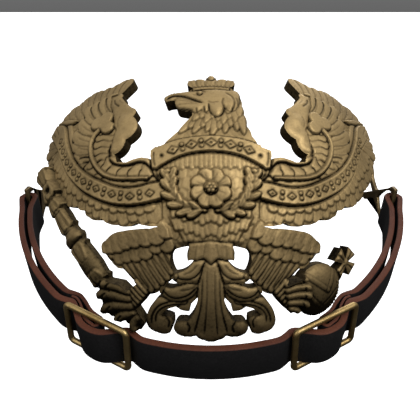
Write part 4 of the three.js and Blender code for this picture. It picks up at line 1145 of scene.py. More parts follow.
# %% Toes, over the sceptre and the orb
LEFT_TOES = [
    ([31.6, -29.6], [41.4, -26.8], 4.2), ([31.4, -32.6], [44, -31.4], 4.4),
    ([30.8, -35.6], [42.6, -37.6], 4.4), ([29.8, -38.6], [37, -41.6], 4),
    ([28.4, -40.4], [29, -45.4], 3.8),
]
RIGHT_TOES = [
    ([27.6, -26.6], [35.4, -24.6], 2.7), ([28, -28.8], [37, -27.8], 2.7),
    ([28.6, -31.2], [37.6, -31.2], 2.7), ([29.4, -33.8], [37, -35], 2.7),
    ([30, -36.2], [34, -38.6], 2.5),
]


def toes():
    """Each toe is laid like a thick feather, with lines across its knuckles."""
    feather_row(LEFT_TOES, -1, 2.4, 3.7, 0.8, crown=0.9, crevice=0.8, taper=0.9)
    for spot in ((39, -27.8), (41.2, -31.8), (39.6, -37), (35.4, -40.6)):
        groove([(spot[0] - 1.6, spot[1] + 1.8), spot, (spot[0] - 1.2, spot[1] - 1.8)],
               0.45, 0.3, 0.8, -1)
    feather_row(RIGHT_TOES, 1, 2.6, 3.7, 0.7, crown=0.7, crevice=0.7, taper=0.9)
    for spot in ((33.4, -25.6), (34.6, -28.4), (35, -31.4), (34.6, -34.6)):
        groove([(spot[0] - 0.5, spot[1] + 1.1), spot, (spot[0] - 0.5, spot[1] - 1.1)],
               0.4, 0.25, 0.8)
    # painted shade over the feet, darkest between the claws
    for ring, shade in ((outline(LEFT_FOOT, -1), 0.42), (outline(RIGHT_FOOT, 1), 0.25)):
        place, deep = inside(ring, 4)
        patina_and_shade[place] += shade * np.clip(1 + deep / 4, 0, 1)


toes()
laid("toes")

# %% [markdown]
# A strike never gives knife edges, so the whole relief is softened a little. Then the dark paint
# is finished: hollows get more of it, partly patina and partly painted shade; faces that turn
# down get painted shade; and the plate is painted darker towards its foot, painted shade for
# the lower part of the dome, which turns down.

# %% A soft copy of a field


def blurred(field, sigma, weight=None):
    """A soft copy of a field; only spots with weight count."""
    reach = int(3 * sigma / CELL) + 1
    k = np.exp(-0.5 * (np.arange(-reach, reach + 1) * CELL / sigma) ** 2)
    k /= k.sum()

    def pass_over(a):
        a = np.apply_along_axis(lambda r: np.convolve(r, k, "same"), 0, a)
        return np.apply_along_axis(lambda r: np.convolve(r, k, "same"), 1, a)

    if weight is None:
        return pass_over(field)
    return pass_over(field * weight) / np.maximum(pass_over(weight), 1e-6)


def soft(field, sigma):
    return blurred(np.where(on_plate > 0, field, 0), sigma, on_plate)


# %% Soften the relief
edge = np.maximum(cover, -2.0)
on_plate = (edge > -0.4).astype(float)
metal = (relief > NOTHING).astype(float)
fill = blurred(np.where(relief > NOTHING, relief, 0), 0.5, metal)
relief = soft(np.where(relief > NOTHING, relief, fill), 0.18)
print("relief from", round(float(relief[edge > 0].min()), 2), "to",
      round(float(relief[edge > 0].max()), 2), "mm")

# %% Finish the patina and painted shade
# hollows: partly patina, partly painted shade
hollow_share = np.clip((soft(relief, 1.4) - relief) / 0.9, 0, 1)
# painted shade on faces that turn down, away from the light above
turned_down = np.clip(np.gradient(soft(relief, 0.25), CELL, axis=0) / 0.45, -1, 1)
patina_and_shade = soft(patina_and_shade, 0.12) * np.clip(0.8 + 0.5 * turned_down, 0.45, 1) + 0.22 * hollow_share
patina_and_shade += 0.12 * np.clip(turned_down, 0, 1)
# painted shade: darker towards the plate's foot
low_down = 0.2 * np.clip((-5 - UPWARD) / 6, 0, 1) + 0.5 * np.clip((-22 - UPWARD) / 26, 0, 1)
patina_and_shade = np.clip(patina_and_shade + low_down[:, None], 0, 1)
print("mean soot on the metal:", round(float(patina_and_shade[edge > 0].mean()), 3))

# %% [markdown]
# Finishes. A flat colour would look like plastic, so each finish is a small shader: soft noise
# for stains, fine noise for wear, and a little bump. Patterns read the object's own
# coordinates, so they stay on the piece. A short helper class keeps the scripts readable.

# %% A few short words for building a shader


class Paint:
    """A few short words for building a shader in script."""

    def __init__(self, name, metallic, **constants):
        self.material = bpy.data.materials.new(name)
        self.material.use_nodes = True
        self.tree = self.material.node_tree
        self.shader = self.tree.nodes["Principled BSDF"]
        self.shader.inputs["Metallic"].default_value = metallic
        for socket, value in constants.items():
            self.shader.inputs[socket.replace("_", " ")].default_value = value
        self.spot = self.node("ShaderNodeTexCoord").outputs["Object"]

    def node(self, kind, **settings):
        """A new node with these settings."""
        made = self.tree.nodes.new(kind)
        for name, value in settings.items():
            setattr(made, name, value)
        return made

    def put(self, value, socket):
        """Joins an output to a socket, or sets a plain value on it."""
        if isinstance(value, bpy.types.NodeSocket):
            self.tree.links.new(value, socket)
        else:
            socket.default_value = value

    def noise(self, scale, detail=4.0, rough=0.55):
        made = self.node("ShaderNodeTexNoise")
        self.put(self.spot, made.inputs["Vector"])
        for name, value in (("Scale", scale), ("Detail", detail), ("Roughness", rough)):
            made.inputs[name].default_value = value
        return made.outputs["Fac"]

    def stored(self, name):
        """A number stored on the mesh."""
        return self.node("ShaderNodeAttribute", attribute_name=name).outputs["Fac"]

    def span(self, value, low, high, to_low=0.0, to_high=1.0):
        """Stretches low to high over another range, and clamps."""
        made = self.node("ShaderNodeMapRange")
        for socket, given in zip(made.inputs, (value, low, high, to_low, to_high)):
            self.put(given, socket)
        return made.outputs[0]

    def maths(self, what, a, b):
        made = self.node("ShaderNodeMath", operation=what)
        made.use_clamp = what in ("ADD", "SUBTRACT")
        self.put(a, made.inputs[0])
        self.put(b, made.inputs[1])
        return made.outputs[0]

    def mix(self, share, a, b):
        made = self.node("ShaderNodeMix", data_type="RGBA")
        self.put(share, made.inputs[0])
        self.put(a, made.inputs[6])
        self.put(b, made.inputs[7])
        return made.outputs[2]

    def bump(self, height, distance, strength=1.0):
        made = self.node("ShaderNodeBump")
        made.inputs["Strength"].default_value = strength
        made.inputs["Distance"].default_value = distance
        self.put(height, made.inputs["Height"])
        self.put(made.outputs[0], self.shader.inputs["Normal"])


print("the helper's words:", [word for word in vars(Paint) if not word.startswith("_")])

# %% [markdown]
# Old brass is warm where it is rubbed and nearly black where polish never reaches. The plate's
# shader mixes a bright, a dull and a near-black colour by the stored darkness, patina and
# painted shade together, and by noise.

# %% Old brass
BRIGHT_BRASS = (0.48, 0.345, 0.163, 1)
DULL_BRASS = (0.39, 0.278, 0.130, 1)
# near-black, for patina and for painted shade
DARK_PATINA_AND_SHADE = (0.012, 0.009, 0.005, 1)


def aged_brass():
    """Rubbed and tarnished brass, mixed by the stored patina and painted shade and by soft
    stains.
    """
    p = Paint("aged_brass", 1.0)
    broad, fine = p.noise(38), p.noise(900, 3)
    pits = p.noise(2600, 2)
    # the stored patina and painted shade, with stains and wear from noise
    grime = p.maths("ADD", p.stored("grime"), p.span(broad, 0.45, 0.8, 0.0, 0.3))
    grime = p.maths("ADD", grime, p.span(fine, 0.45, 0.8, 0.0, 0.18))
    bright = p.mix(p.span(broad, 0.35, 0.65), BRIGHT_BRASS, DULL_BRASS)
    p.put(p.mix(p.span(grime, 0.0, 1.0), bright, DARK_PATINA_AND_SHADE), p.shader.inputs["Base Color"])
    p.put(p.span(grime, 0.0, 1.0, 0.54, 0.82), p.shader.inputs["Roughness"])
    p.bump(p.maths("ADD", p.maths("MULTIPLY", fine, 0.7), p.maths("MULTIPLY", pits, 0.3)), 0.00014)
    return p.material


BRASS = aged_brass()
print(BRASS.name, "has", len(BRASS.node_tree.nodes), "nodes")

# %% [markdown]
# The slides are the same metal handled more often: smoother, brighter and only stained. The
# hangers hang behind the wings and are dull.

# %% Handled brass


def handled_brass(name, bright, dull):
    """Smoother brass with stains and fine pits."""
    p = Paint(name, 1.0)
    broad, fine, pits = p.noise(70), p.noise(700, 4), p.noise(2600, 2)
    stain = p.maths("ADD", p.span(broad, 0.35, 0.7), p.span(fine, 0.45, 0.8, 0.0, 0.4))
    p.put(p.mix(stain, bright, dull), p.shader.inputs["Base Color"])
    p.put(p.span(fine, 0.3, 0.7, 0.32, 0.5), p.shader.inputs["Roughness"])
    p.bump(pits, 0.00005)
    return p.material


WIRE_BRASS = handled_brass("wire_brass", (0.52, 0.38, 0.17, 1), (0.33, 0.22, 0.085, 1))
HANGER_BRASS = handled_brass("hanger_brass", (0.26, 0.19, 0.095, 1), (0.075, 0.05, 0.024, 1))
print(WIRE_BRASS.name, "and", HANGER_BRASS.name, "share a recipe of",
      len(WIRE_BRASS.node_tree.nodes), "nodes")

# %% [markdown]
# The strap is black leather: a fine pebbled grain, hardly any shine, and brown cut edges. Which
# points are a cut edge is stored on the mesh.

# %% Black leather
BLACK_FACE = ((0.0085, 0.0082, 0.0085, 1), (0.0145, 0.014, 0.0145, 1))
BROWN_EDGE = ((0.085, 0.025, 0.012, 1), (0.125, 0.040, 0.020, 1))
STAINED_EDGE = (0.045, 0.018, 0.014, 1)


def black_leather():
    """Dyed and pressed on its face, bare and brown where it is cut."""
    p = Paint("strap_leather", 0.0, Specular_IOR_Level=0.15)
    grain = p.node("ShaderNodeTexVoronoi", feature="SMOOTH_F1")
    p.put(p.spot, grain.inputs["Vector"])
    grain.inputs["Scale"].default_value = 1500
    fine, broad = p.noise(1800, 3), p.noise(60)
    face = p.mix(p.span(fine, 0.35, 0.65), *BLACK_FACE)
    bare = p.mix(p.span(broad, 0.35, 0.65), *BROWN_EDGE)
    bare = p.mix(p.span(fine, 0.3, 0.7, 0.0, 0.5), bare, STAINED_EDGE)
    p.put(p.mix(p.stored("cut_edge"), face, bare), p.shader.inputs["Base Color"])
    p.put(p.span(fine, 0.3, 0.7, 0.5, 0.68), p.shader.inputs["Roughness"])
    p.bump(p.maths("ADD", p.maths("MULTIPLY", grain.outputs["Distance"], 0.5),
                   p.maths("MULTIPLY", fine, 0.5)), 0.00012, 0.6)
    return p.material


LEATHER = black_leather()
print(LEATHER.name, "has", len(LEATHER.node_tree.nodes), "nodes")

# %% [markdown]
# The relief becomes a skin. A displaced grid would leave stairs at the outline, so marching
# squares walks the grid and cuts its cells at the plate's edge, which keeps the outline smooth.

# %% Front skin of the plate
SKIN_STEP = 2           # cells of the pattern to one of the skin
skin_high = relief[::SKIN_STEP, ::SKIN_STEP]
skin_edge = edge[::SKIN_STEP, ::SKIN_STEP]
skin_dark = patina_and_shade[::SKIN_STEP, ::SKIN_STEP]
skin_across, skin_up = ACROSS[::SKIN_STEP], UPWARD[::SKIN_STEP]


def front_skin():
    """Flat points [u, v, height, patina and painted shade], faces, and the edges that run round
    the outline.
    """
    on = skin_edge > 0
    index = np.full(on.shape, -1)
    rows, cols = np.nonzero(on)
    index[rows, cols] = np.arange(len(rows))
    points = np.stack([skin_across[cols], skin_up[rows], skin_high[rows, cols],
                       skin_dark[rows, cols]], axis=1).tolist()
    whole_cells = on[:-1, :-1] & on[:-1, 1:] & on[1:, 1:] & on[1:, :-1]
    r, c = np.nonzero(whole_cells)
    faces = np.stack([index[r, c], index[r, c + 1], index[r + 1, c + 1], index[r + 1, c]],
                     axis=1).tolist()
    part = (on[:-1, :-1] | on[:-1, 1:] | on[1:, 1:] | on[1:, :-1]) & ~whole_cells
    crossings, rim = {}, []

    def crossing(a, b):
        """The point where the outline crosses the grid line from a, on the plate, to b, off it."""
        key = (a, b)
        if key not in crossings:
            share = skin_edge[a] / (skin_edge[a] - skin_edge[b])
            share = min(max(share, 0.08), 0.92)       # no slivers beside a cell's corner
            u = skin_across[a[1]] + share * (skin_across[b[1]] - skin_across[a[1]])
            v = skin_up[a[0]] + share * (skin_up[b[0]] - skin_up[a[0]])
            crossings[key] = len(points)
            points.append([u, v, skin_high[a], skin_dark[a]])
        return crossings[key]

    for r, c in zip(*np.nonzero(part)):
        corners = [(r, c), (r, c + 1), (r + 1, c + 1), (r + 1, c)]
        ring = []
        for a, b in zip(corners, corners[1:] + corners[:1]):
            if on[a]:
                ring.append((index[a], False))
            if on[a] != on[b]:
                ring.append((crossing(a, b) if on[a] else crossing(b, a), True))
        faces.append([int(i) for i, _ in ring])
        for (i, cut), (j, next_cut) in zip(ring, ring[1:] + ring[:1]):
            if cut and next_cut and len(ring) > 2:
                rim.append((i, j))
    return np.array(points), faces, rim


skin_points, skin_faces, skin_rim = front_skin()
print("front skin:", len(skin_points), "points,", len(skin_faces), "faces,", len(skin_rim),
      "edges round it")

# %% [markdown]
# The back of a struck sheet follows its front a sheet's thickness behind, and its rim is turned
# back to the helmet. Nobody looks at it closely, so it needs far fewer faces: it is a Delaunay
# net between the same edge points, thinned out inside.

# %% Which triangles of the net are metal


def inside_rim(faces, points, loops):
    """The triangles on the metal. Triangles with no rim between them are kept or left together,
    and those that reach the net's outer border are left."""
    rim = {tuple(sorted(pair)) for pair in loops}
    group, owner, border = list(range(len(faces))), {}, set()

    def first(k):
        while group[k] != k:
            group[k] = group[group[k]]
            k = group[k]
        return k

    for k, (a, b, c) in enumerate(faces):
        for pair in (tuple(sorted(p)) for p in ((a, b), (b, c), (c, a))):
            if pair not in rim:
                group[first(k)] = first(owner.setdefault(pair, k))
                border ^= {pair}
    corner = points[np.array(faces)]
    side_a, side_b = corner[:, 1] - corner[:, 0], corner[:, 2] - corner[:, 0]
    size = np.abs(side_a[:, 0] * side_b[:, 1] - side_a[:, 1] * side_b[:, 0])
    row, col = np.rint((corner.mean(1)[:, ::-1] - (UPWARD[0], ACROSS[0])) / CELL).astype(int).T
    heads = np.array([first(k) for k in range(len(faces))])
    vote = np.bincount(heads, size * np.where(edge[row, col] > 0, 1, -1), len(faces))
    vote[[first(owner[pair]) for pair in border]] = -1
    return [f for f, h in zip(faces, heads) if vote[h] > 0]


# %% Back skin
SHEET = 0.9             # mm
BACK_STEP = 3           # cells of the skin to one of the back
RIM_WIDE = 1.0          # mm
SHAFT_SHALLOWER = 2.1   # mm: the sceptre's shaft is shallower than the rest


def back_skin():
    """Flat points [u, v, height] of the back, the rim's own points first, and its triangles."""
    ids = sorted({i for pair in skin_rim for i in pair})
    place = {i: k for k, i in enumerate(ids)}
    flat = [Vector(skin_points[i, :2]) for i in ids]
    loops = [(place[i], place[j]) for i, j in skin_rim]
    hollow = soft(relief, 0.6)[::SKIN_STEP, ::SKIN_STEP] - SHEET
    rows, cols = np.nonzero(skin_edge > 0.45)
    kept = (rows % BACK_STEP == 0) & (cols % BACK_STEP == 0)
    rows, cols = rows[kept], cols[kept]
    flat += [Vector((skin_across[c], skin_up[r])) for r, c in zip(rows, cols)]
    made = geometry.delaunay_2d_cdt(flat, loops, [], 0, 1e-6)
    assert len(made[0]) == len(flat), "the net merged two points of the rim"
    points = np.array([[p.x, p.y, -PLATE_DEPTH] for p in made[0]])
    # the sceptre's shaft is shallower than the rest
    run, away = SHAFT_RUN, points[:, :2] - SCEPTRE_HEAD
    beside, along = np.abs(away @ (-run[1], run[0])), away @ run
    points[:, 2] += SHAFT_SHALLOWER * np.clip(7 - beside, 0, 1) * np.clip((66 - along) / 6, 0, 1)
    inner = skin_edge[rows, cols] > RIM_WIDE
    points[len(ids):, 2] = np.where(inner, hollow[rows, cols], points[len(ids):, 2])
    return points, inside_rim(made[2], points[:, :2], loops), ids


back_points, back_faces, rim_ids = back_skin()
print("back skin:", len(back_points), "points,", len(back_faces), "triangles")

# %% [markdown]
# One strip of wall between the two skins closes the shell. Every finished piece then rides on
# the part's one body, stands for its solid, and is tested for open edges.

# %% Finishing and dressing a piece


def finished(name, points, faces, material, smooth=True):
    """A piece in the part's frame, at the origin, from points in metres."""
    mesh = bpy.data.meshes.new(name)
    mesh.from_pydata([tuple(p) for p in points], [], faces)
    mesh.validate()
    mesh.materials.append(material)
    if smooth:
        mesh.shade_smooth()
    piece = bpy.data.objects.new(name, mesh)
    bpy.context.scene.collection.objects.link(piece)
    return piece


def closed(piece):
    """True if every edge of a piece joins exactly two faces."""
    net = bmesh.new()
    net.from_mesh(piece.data)
    good = all(e.is_manifold for e in net.edges)
    net.free()
    return good


def dress(piece, node):
    """Ties a piece to the part's body and to the solid that it stands for."""
    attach(piece, "root")
    if node:
        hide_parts(node)
    triangles = sum(len(p.vertices) - 2 for p in piece.data.polygons)
    print(f"{piece.name}: {triangles} triangles, closed {closed(piece)}")


# %% The plate, bent to the dome
# painted shade on the walls, and on the back, which is never seen
WALL_AND_BACK_SHADE = 0.8


def plate():
    """Front, back and one strip of wall, joined into a shell and bent to the dome."""
    front, _ = dome_points(skin_points[:, :2], skin_points[:, 2])
    back, _ = dome_points(back_points[:, :2], back_points[:, 2])
    shift = len(front)
    faces = list(skin_faces)
    faces += [[shift + i for i in reversed(f)] for f in back_faces]
    place = {i: shift + k for k, i in enumerate(rim_ids)}
    faces += [[j, i, place[i], place[j]] for i, j in skin_rim]
    piece = finished("eagle_plate_skin", to_metres(np.vstack([front, back])), faces, BRASS)
    # patina and painted shade are stored on the corners of faces, so that the walls can be dark up
    # to a crisp edge; the walls carry an even painted shade
    mesh = piece.data
    corners = np.empty(len(mesh.loops), np.int64)
    mesh.loops.foreach_get("vertex_index", corners)
    grime = np.concatenate([skin_points[:, 3], np.full(len(back), WALL_AND_BACK_SHADE)])[corners]
    wall = np.concatenate([np.full(len(f), k >= len(mesh.polygons) - len(skin_rim))
                           for k, f in enumerate(faces)])
    tint = mesh.attributes.new("grime", "FLOAT", "CORNER")
    tint.data.foreach_set("value", np.where(wall, WALL_AND_BACK_SHADE, grime).astype(np.float32))
    ends = np.empty(2 * len(mesh.edges), np.int64)
    mesh.edges.foreach_get("vertices", ends)
    rim = np.zeros(len(mesh.vertices), bool)
    rim[rim_ids] = True
    rim[shift:shift + len(rim_ids)] = True
    ends = ends.reshape(-1, 2)
    along_rim = rim[ends].all(1) & ((ends < shift).all(1) | (ends >= shift).all(1))
    crisp = mesh.attributes.get("sharp_edge")
    crisp = crisp or mesh.attributes.new("sharp_edge", "BOOLEAN", "EDGE")
    crisp.data.foreach_set("value", along_rim)
    return piece


dress(plate(), "eagle_plate")

# %% [markdown]
# Two pins are soldered to the back of the wings and go through the helmet. They are turned
# shapes: a profile of heights and radii, spun round the dome's normal.

# %% Studs on the plate's back
STUD_SPOT, STUD_LIFT = (46.0, 30.0), 0.4
STUD_PROFILE = ((0.4, 3.4), (-0.2, 3.2), (-0.6, 2.0), (-11.2, 2.0), (-11.5, 1.7))


def plate_studs():
    """The two pins soldered to the back of the wings, from the hollow back to their ends."""
    net = bmesh.new()
    for side in (-1, 1):
        top, normal = dome_points(mirrored([STUD_SPOT], side), np.array([STUD_LIFT]))
        axis = Vector(normal[0])
        turn = Vector((0, 0, 1)).rotation_difference(axis)
        rings = []
        for height, radius in STUD_PROFILE:
            ring = []
            for k in range(24):
                a = 2 * math.pi * k / 24
                spot = Vector((radius * math.cos(a), radius * math.sin(a), height - STUD_LIFT))
                spot.rotate(turn)
                ring.append(net.verts.new(to_metres(np.array(top[0]) + np.array(spot))))
            rings.append(ring)
        for a, b in zip(rings[:-1], rings[1:]):
            for k in range(24):
                net.faces.new((a[k], b[k], b[(k + 1) % 24], a[(k + 1) % 24]))
        net.faces.new(rings[0])
        net.faces.new(rings[-1][::-1])
    bmesh.ops.recalc_face_normals(net, faces=net.faces)
    mesh = bpy.data.meshes.new("plate_studs")
    net.to_mesh(mesh)
    net.free()
    mesh.materials.append(HANGER_BRASS)
    mesh.shade_smooth()
    mesh.set_sharp_from_angle(angle=math.radians(50))
    piece = bpy.data.objects.new("plate_studs", mesh)
    bpy.context.scene.collection.objects.link(piece)
    return piece


dress(plate_studs(), None)

# %% [markdown]
# The chin strap is one length of leather. Each end folds back round a hanger's bar, comes
# forward again, turns round the slide's bar and stops as a short flap. Seen from above it runs
# round an oval, so a place on it is a distance round that oval and a distance off it. Cloth
# simulation would not give this: the leather is stiff, and where it goes is known.

# %% The oval that the strap follows
STRAP = dict(side=98.4, front=104.6, centre=0.8, width=15.4, thick=2.7, gap=1.4, slope=0.26,
             level=27.4, taper=0.016, fold=145.5, turn=3.3)
SLIDE = dict(length=32.6, height=22.2, wire=2.6, bar=0.9, corner=1.7, middle=48.5, inset=1.2,
             bar_inset=0.75)


def oval(along, off):
    """Spot seen from above: a distance round the oval from its front, and how far outside it."""
    turn = 0.0
    for _ in range(200):
        turn += along / 200 / math.hypot(STRAP["side"] * math.cos(turn),
                                         STRAP["front"] * math.sin(turn))
    spot = np.array([STRAP["side"] * math.sin(turn), -STRAP["front"] * math.cos(turn)])
    outward = spot / (STRAP["side"] ** 2, STRAP["front"] ** 2)
    outward /= np.linalg.norm(outward)
    return spot + (0, STRAP["centre"]) + off * outward


def hung(points):
    """Points [x, y, z down from the strap's top edge], pinched and tilted as the strap hangs."""
    x, y, z = np.asarray(points, float).T
    pinch = 1 + STRAP["taper"] * z / STRAP["width"]
    return np.stack([x * pinch, y * pinch, z + STRAP["slope"] * y + STRAP["level"]], axis=1)


print("the strap's front is at", oval(0, 0).round(1), "and its slide at",
      oval(SLIDE["middle"], 0).round(1))

# %% The line of the leather: behind the slide's middle, off the oval, thickness
OVER_SLIDE = [
    (-22, -1.35, 2.7), (-18, -2.5, 2.7), (-14.9, -3.5, 2.7), (-10.5, -1.7, 2.7),
    (-5, 1.6, 2.7), (0, 2.4, 2.7), (5, 1.6, 2.7), (10.5, -1.7, 2.7), (14.9, -3.5, 2.7),
    (18, -2.5, 2.7), (22, -1.35, 2.7),
]
UNDER_SLIDE = [
    (22, -5.6, 2.4), (18, -7, 1.9), (14.9, -7.7, 1.7), (10.5, -6.8, 1.6), (5, -4.8, 1.5),
    (0, -4.1, 1.5),
]
FLAP = [(0, 0.1, 1.3), (5, -0.9, 1.2), (10.5, -4.4, 1), (14.9, -5.8, 1), (17.5, -5.3, 1)]


def half_line():
    """One half of the leather, from the front middle to the end of its flap."""
    thick, fold, turn = STRAP["thick"], STRAP["fold"], STRAP["turn"]
    middle = SLIDE["middle"]
    outer, inner = -thick / 2, -1.5 * thick - STRAP["gap"]
    centre = (outer + inner) / 2
    bar_off, bar_turn = -SLIDE["inset"] - SLIDE["bar_inset"], SLIDE["bar"] + 1.5

    def moved(rows):
        return [(middle + behind, off, deep) for behind, off, deep in rows]

    def arc(along, off, radius, deep, parts, hand):
        turns = [math.pi * k / parts for k in range(1, parts)]
        return [(along + hand * radius * math.sin(a), off + hand * radius * math.cos(a), deep)
                for a in turns]

    rows = [(s, outer, thick) for s in np.arange(0, middle - 26, 6)]
    rows += moved(OVER_SLIDE)
    rows += [(s, outer, thick) for s in np.arange(middle + 28, fold - 4, 6)]
    rows += [(fold, centre + turn, thick), *arc(fold, centre, turn, thick, 7, 1),
             (fold, centre - turn, thick)]
    rows += [(s, inner, thick) for s in np.arange(fold - 8, middle + 26, -6)]
    rows += moved(UNDER_SLIDE)
    rows += arc(middle, bar_off, bar_turn, 1.3, 6, -1)
    return rows + moved(FLAP)


def leather_line():
    """The whole line seen from above, and the leather's thickness at each of its points."""
    half = half_line()
    rows = [(-s, off, deep) for s, off, deep in half[:0:-1]] + half
    spots = np.array([[*oval(s, off), deep] for s, off, deep in rows])
    return curve(spots, 4)


strap_line = leather_line()
strap_steps = np.linalg.norm(np.diff(strap_line[:, :2], axis=0), axis=1)
print("leather:", round(strap_steps.sum()), "mm long,", len(strap_line), "stations")

# %% The leather itself, swept along its line


def section():
    """The leather's section: share of the thickness, a shift off it, millimetres down, cut edge."""
    thick_steps, corner = 3, 0.45
    spots = []
    for sx, sz in ((1, 0), (-1, 0), (-1, 1), (1, 1)):
        quarter = {(1, 0): 0, (-1, 0): 1, (-1, 1): 2, (1, 1): 3}[(sx, sz)]
        for k in range(thick_steps):
            a = math.pi / 2 * (quarter + k / (thick_steps - 1))
            spots.append((sx, corner * math.cos(a) - corner * sx,
                          corner * math.sin(a) - (corner if sz == 0 else STRAP["width"] - corner),
                          1.0 if abs(math.sin(a)) > 0.3 else 0.0))
    return spots


def strap():
    """The section swept along the line, thinner where the leather is pressed under the slide."""
    run = np.gradient(strap_line[:, :2], axis=0)
    run /= np.linalg.norm(run, axis=1, keepdims=True)
    out = np.stack([run[:, 1], -run[:, 0]], axis=1)
    ring, points, cut = section(), [], []
    for spot, normal in zip(strap_line, out):
        for sx, shift, down, edge_share in ring:
            off = sx * spot[2] / 2 + shift * min(1, spot[2] / STRAP["thick"])
            points.append([*(spot[:2] + normal * off), down])
            cut.append(edge_share)
    n, rows = len(ring), len(strap_line)
    faces = [[i * n + k, i * n + (k + 1) % n, (i + 1) * n + (k + 1) % n, (i + 1) * n + k]
             for i in range(rows - 1) for k in range(n)]
    faces += [list(range(n))[::-1], [(rows - 1) * n + k for k in range(n)]]
    piece = finished("chin_strap_leather", to_metres(hung(points)), faces, LEATHER)
    net = bmesh.new()
    net.from_mesh(piece.data)
    bmesh.ops.recalc_face_normals(net, faces=net.faces)
    net.to_mesh(piece.data)
    net.free()
    mark = piece.data.attributes.new("cut_edge", "FLOAT", "POINT")
    mark.data.foreach_set("value", np.array(cut, np.float32))
    return piece


dress(strap(), "chin_strap")

# %% [markdown]
# A slide is a rectangle of round wire with a thinner bar across its middle. A wire follows a
# path, which is what Geometry Nodes are good at: a rectangle with filleted corners, swept with
# a circle, and a straight bar joined to it. The same tree makes both slides.

# %% The slide as a Geometry Nodes tree


def slide_tree():
    """A filleted rectangle swept with a circle, and a thinner straight bar across it."""
    tree = bpy.data.node_groups.new("wire_slide", "GeometryNodeTree")
    face = tree.interface
    for name in ("Length", "Height", "Wire", "Corner", "Bar"):
        face.new_socket(name, in_out="INPUT", socket_type="NodeSocketFloat")
    face.new_socket("Metal", in_out="INPUT", socket_type="NodeSocketMaterial")
    face.new_socket("Geometry", in_out="OUTPUT", socket_type="NodeSocketGeometry")
    new, link = tree.nodes.new, tree.links.new
    given, made = new("NodeGroupInput"), new("NodeGroupOutput")

    def maths(what, a, b):
        node = new("ShaderNodeMath")
        node.operation = what
        for socket, value in zip(node.inputs, (a, b)):
            if isinstance(value, (int, float)):
                socket.default_value = value
            else:
                link(value, socket)
        return node.outputs[0]

    frame_path = new("GeometryNodeCurvePrimitiveQuadrilateral")
    link(maths("SUBTRACT", given.outputs["Length"], given.outputs["Wire"]), frame_path.inputs[0])
    link(maths("SUBTRACT", given.outputs["Height"], given.outputs["Wire"]), frame_path.inputs[1])
    bent = new("GeometryNodeFilletCurve")
    bent.mode = "POLY"
    link(frame_path.outputs[0], bent.inputs["Curve"])
    bent.inputs["Count"].default_value = 6
    link(given.outputs["Corner"], bent.inputs["Radius"])
    finer = new("GeometryNodeSubdivideCurve")
    finer.inputs["Cuts"].default_value = 3
    link(bent.outputs[0], finer.inputs["Curve"])

    bar_path = new("GeometryNodeCurvePrimitiveLine")
    ends = []
    for sign in (-0.5, 0.5):
        point = new("ShaderNodeCombineXYZ")
        inner = maths("SUBTRACT", given.outputs["Height"], given.outputs["Wire"])
        link(maths("MULTIPLY", inner, sign), point.inputs[1])
        point.inputs[2].default_value = -SLIDE["bar_inset"]
        ends.append(point.outputs[0])
    link(ends[0], bar_path.inputs["Start"])
    link(ends[1], bar_path.inputs["End"])

    wires = []
    for path, thick, facets in ((finer, given.outputs["Wire"], 20),
                                (bar_path, given.outputs["Bar"], 16)):
        ring = new("GeometryNodeCurvePrimitiveCircle")
        ring.inputs["Resolution"].default_value = facets
        link(maths("MULTIPLY", thick, 0.5 if path is finer else 1.0), ring.inputs["Radius"])
        sweep = new("GeometryNodeCurveToMesh")
        link(path.outputs[0], sweep.inputs["Curve"])
        link(ring.outputs[0], sweep.inputs["Profile Curve"])
        sweep.inputs["Fill Caps"].default_value = True
        wires.append(sweep.outputs[0])
    both = new("GeometryNodeJoinGeometry")
    for wire in wires:
        link(wire, both.inputs[0])
    plain = new("GeometryNodeRealizeInstances")
    link(both.outputs[0], plain.inputs[0])
    painted = new("GeometryNodeSetMaterial")
    link(plain.outputs[0], painted.inputs["Geometry"])
    link(given.outputs["Metal"], painted.inputs["Material"])
    smooth = new("GeometryNodeSetShadeSmooth")
    link(painted.outputs[0], smooth.inputs[0])
    link(smooth.outputs[0], made.inputs[0])
    return tree


def made_by(tree, values):
    """The plain mesh that a tree makes from these inputs."""
    holder = bpy.data.objects.new("holder", bpy.data.meshes.new("holder"))
    bpy.context.scene.collection.objects.link(holder)
    nodes = holder.modifiers.new("made", "NODES")
    nodes.node_group = tree
    for item in tree.interface.items_tree:
        if item.in_out == "INPUT":
            nodes[item.identifier] = values[item.name]
    seen = holder.evaluated_get(bpy.context.evaluated_depsgraph_get())
    mesh = bpy.data.meshes.new_from_object(seen)
    bpy.data.objects.remove(holder)
    return mesh


# %% Both slides, stood on the leather


def stand(points, spot, ahead):
    """Stands a fitting on the middle of the leather: its x ahead, its z up the leather."""
    up = np.array([spot[0] * STRAP["taper"] / STRAP["width"],
                   spot[1] * STRAP["taper"] / STRAP["width"], 1.0])
    ahead = np.array(ahead) / np.linalg.norm(ahead)
    up -= ahead * (up @ ahead)
    up /= np.linalg.norm(up)
    left = np.cross(up, ahead)
    shrink = 1 - STRAP["taper"] / 2
    middle = np.array([spot[0] * shrink, spot[1] * shrink,
                       STRAP["slope"] * spot[1] + STRAP["level"] - STRAP["width"] / 2])
    return np.asarray(points) @ np.stack([ahead, left, up]) + middle


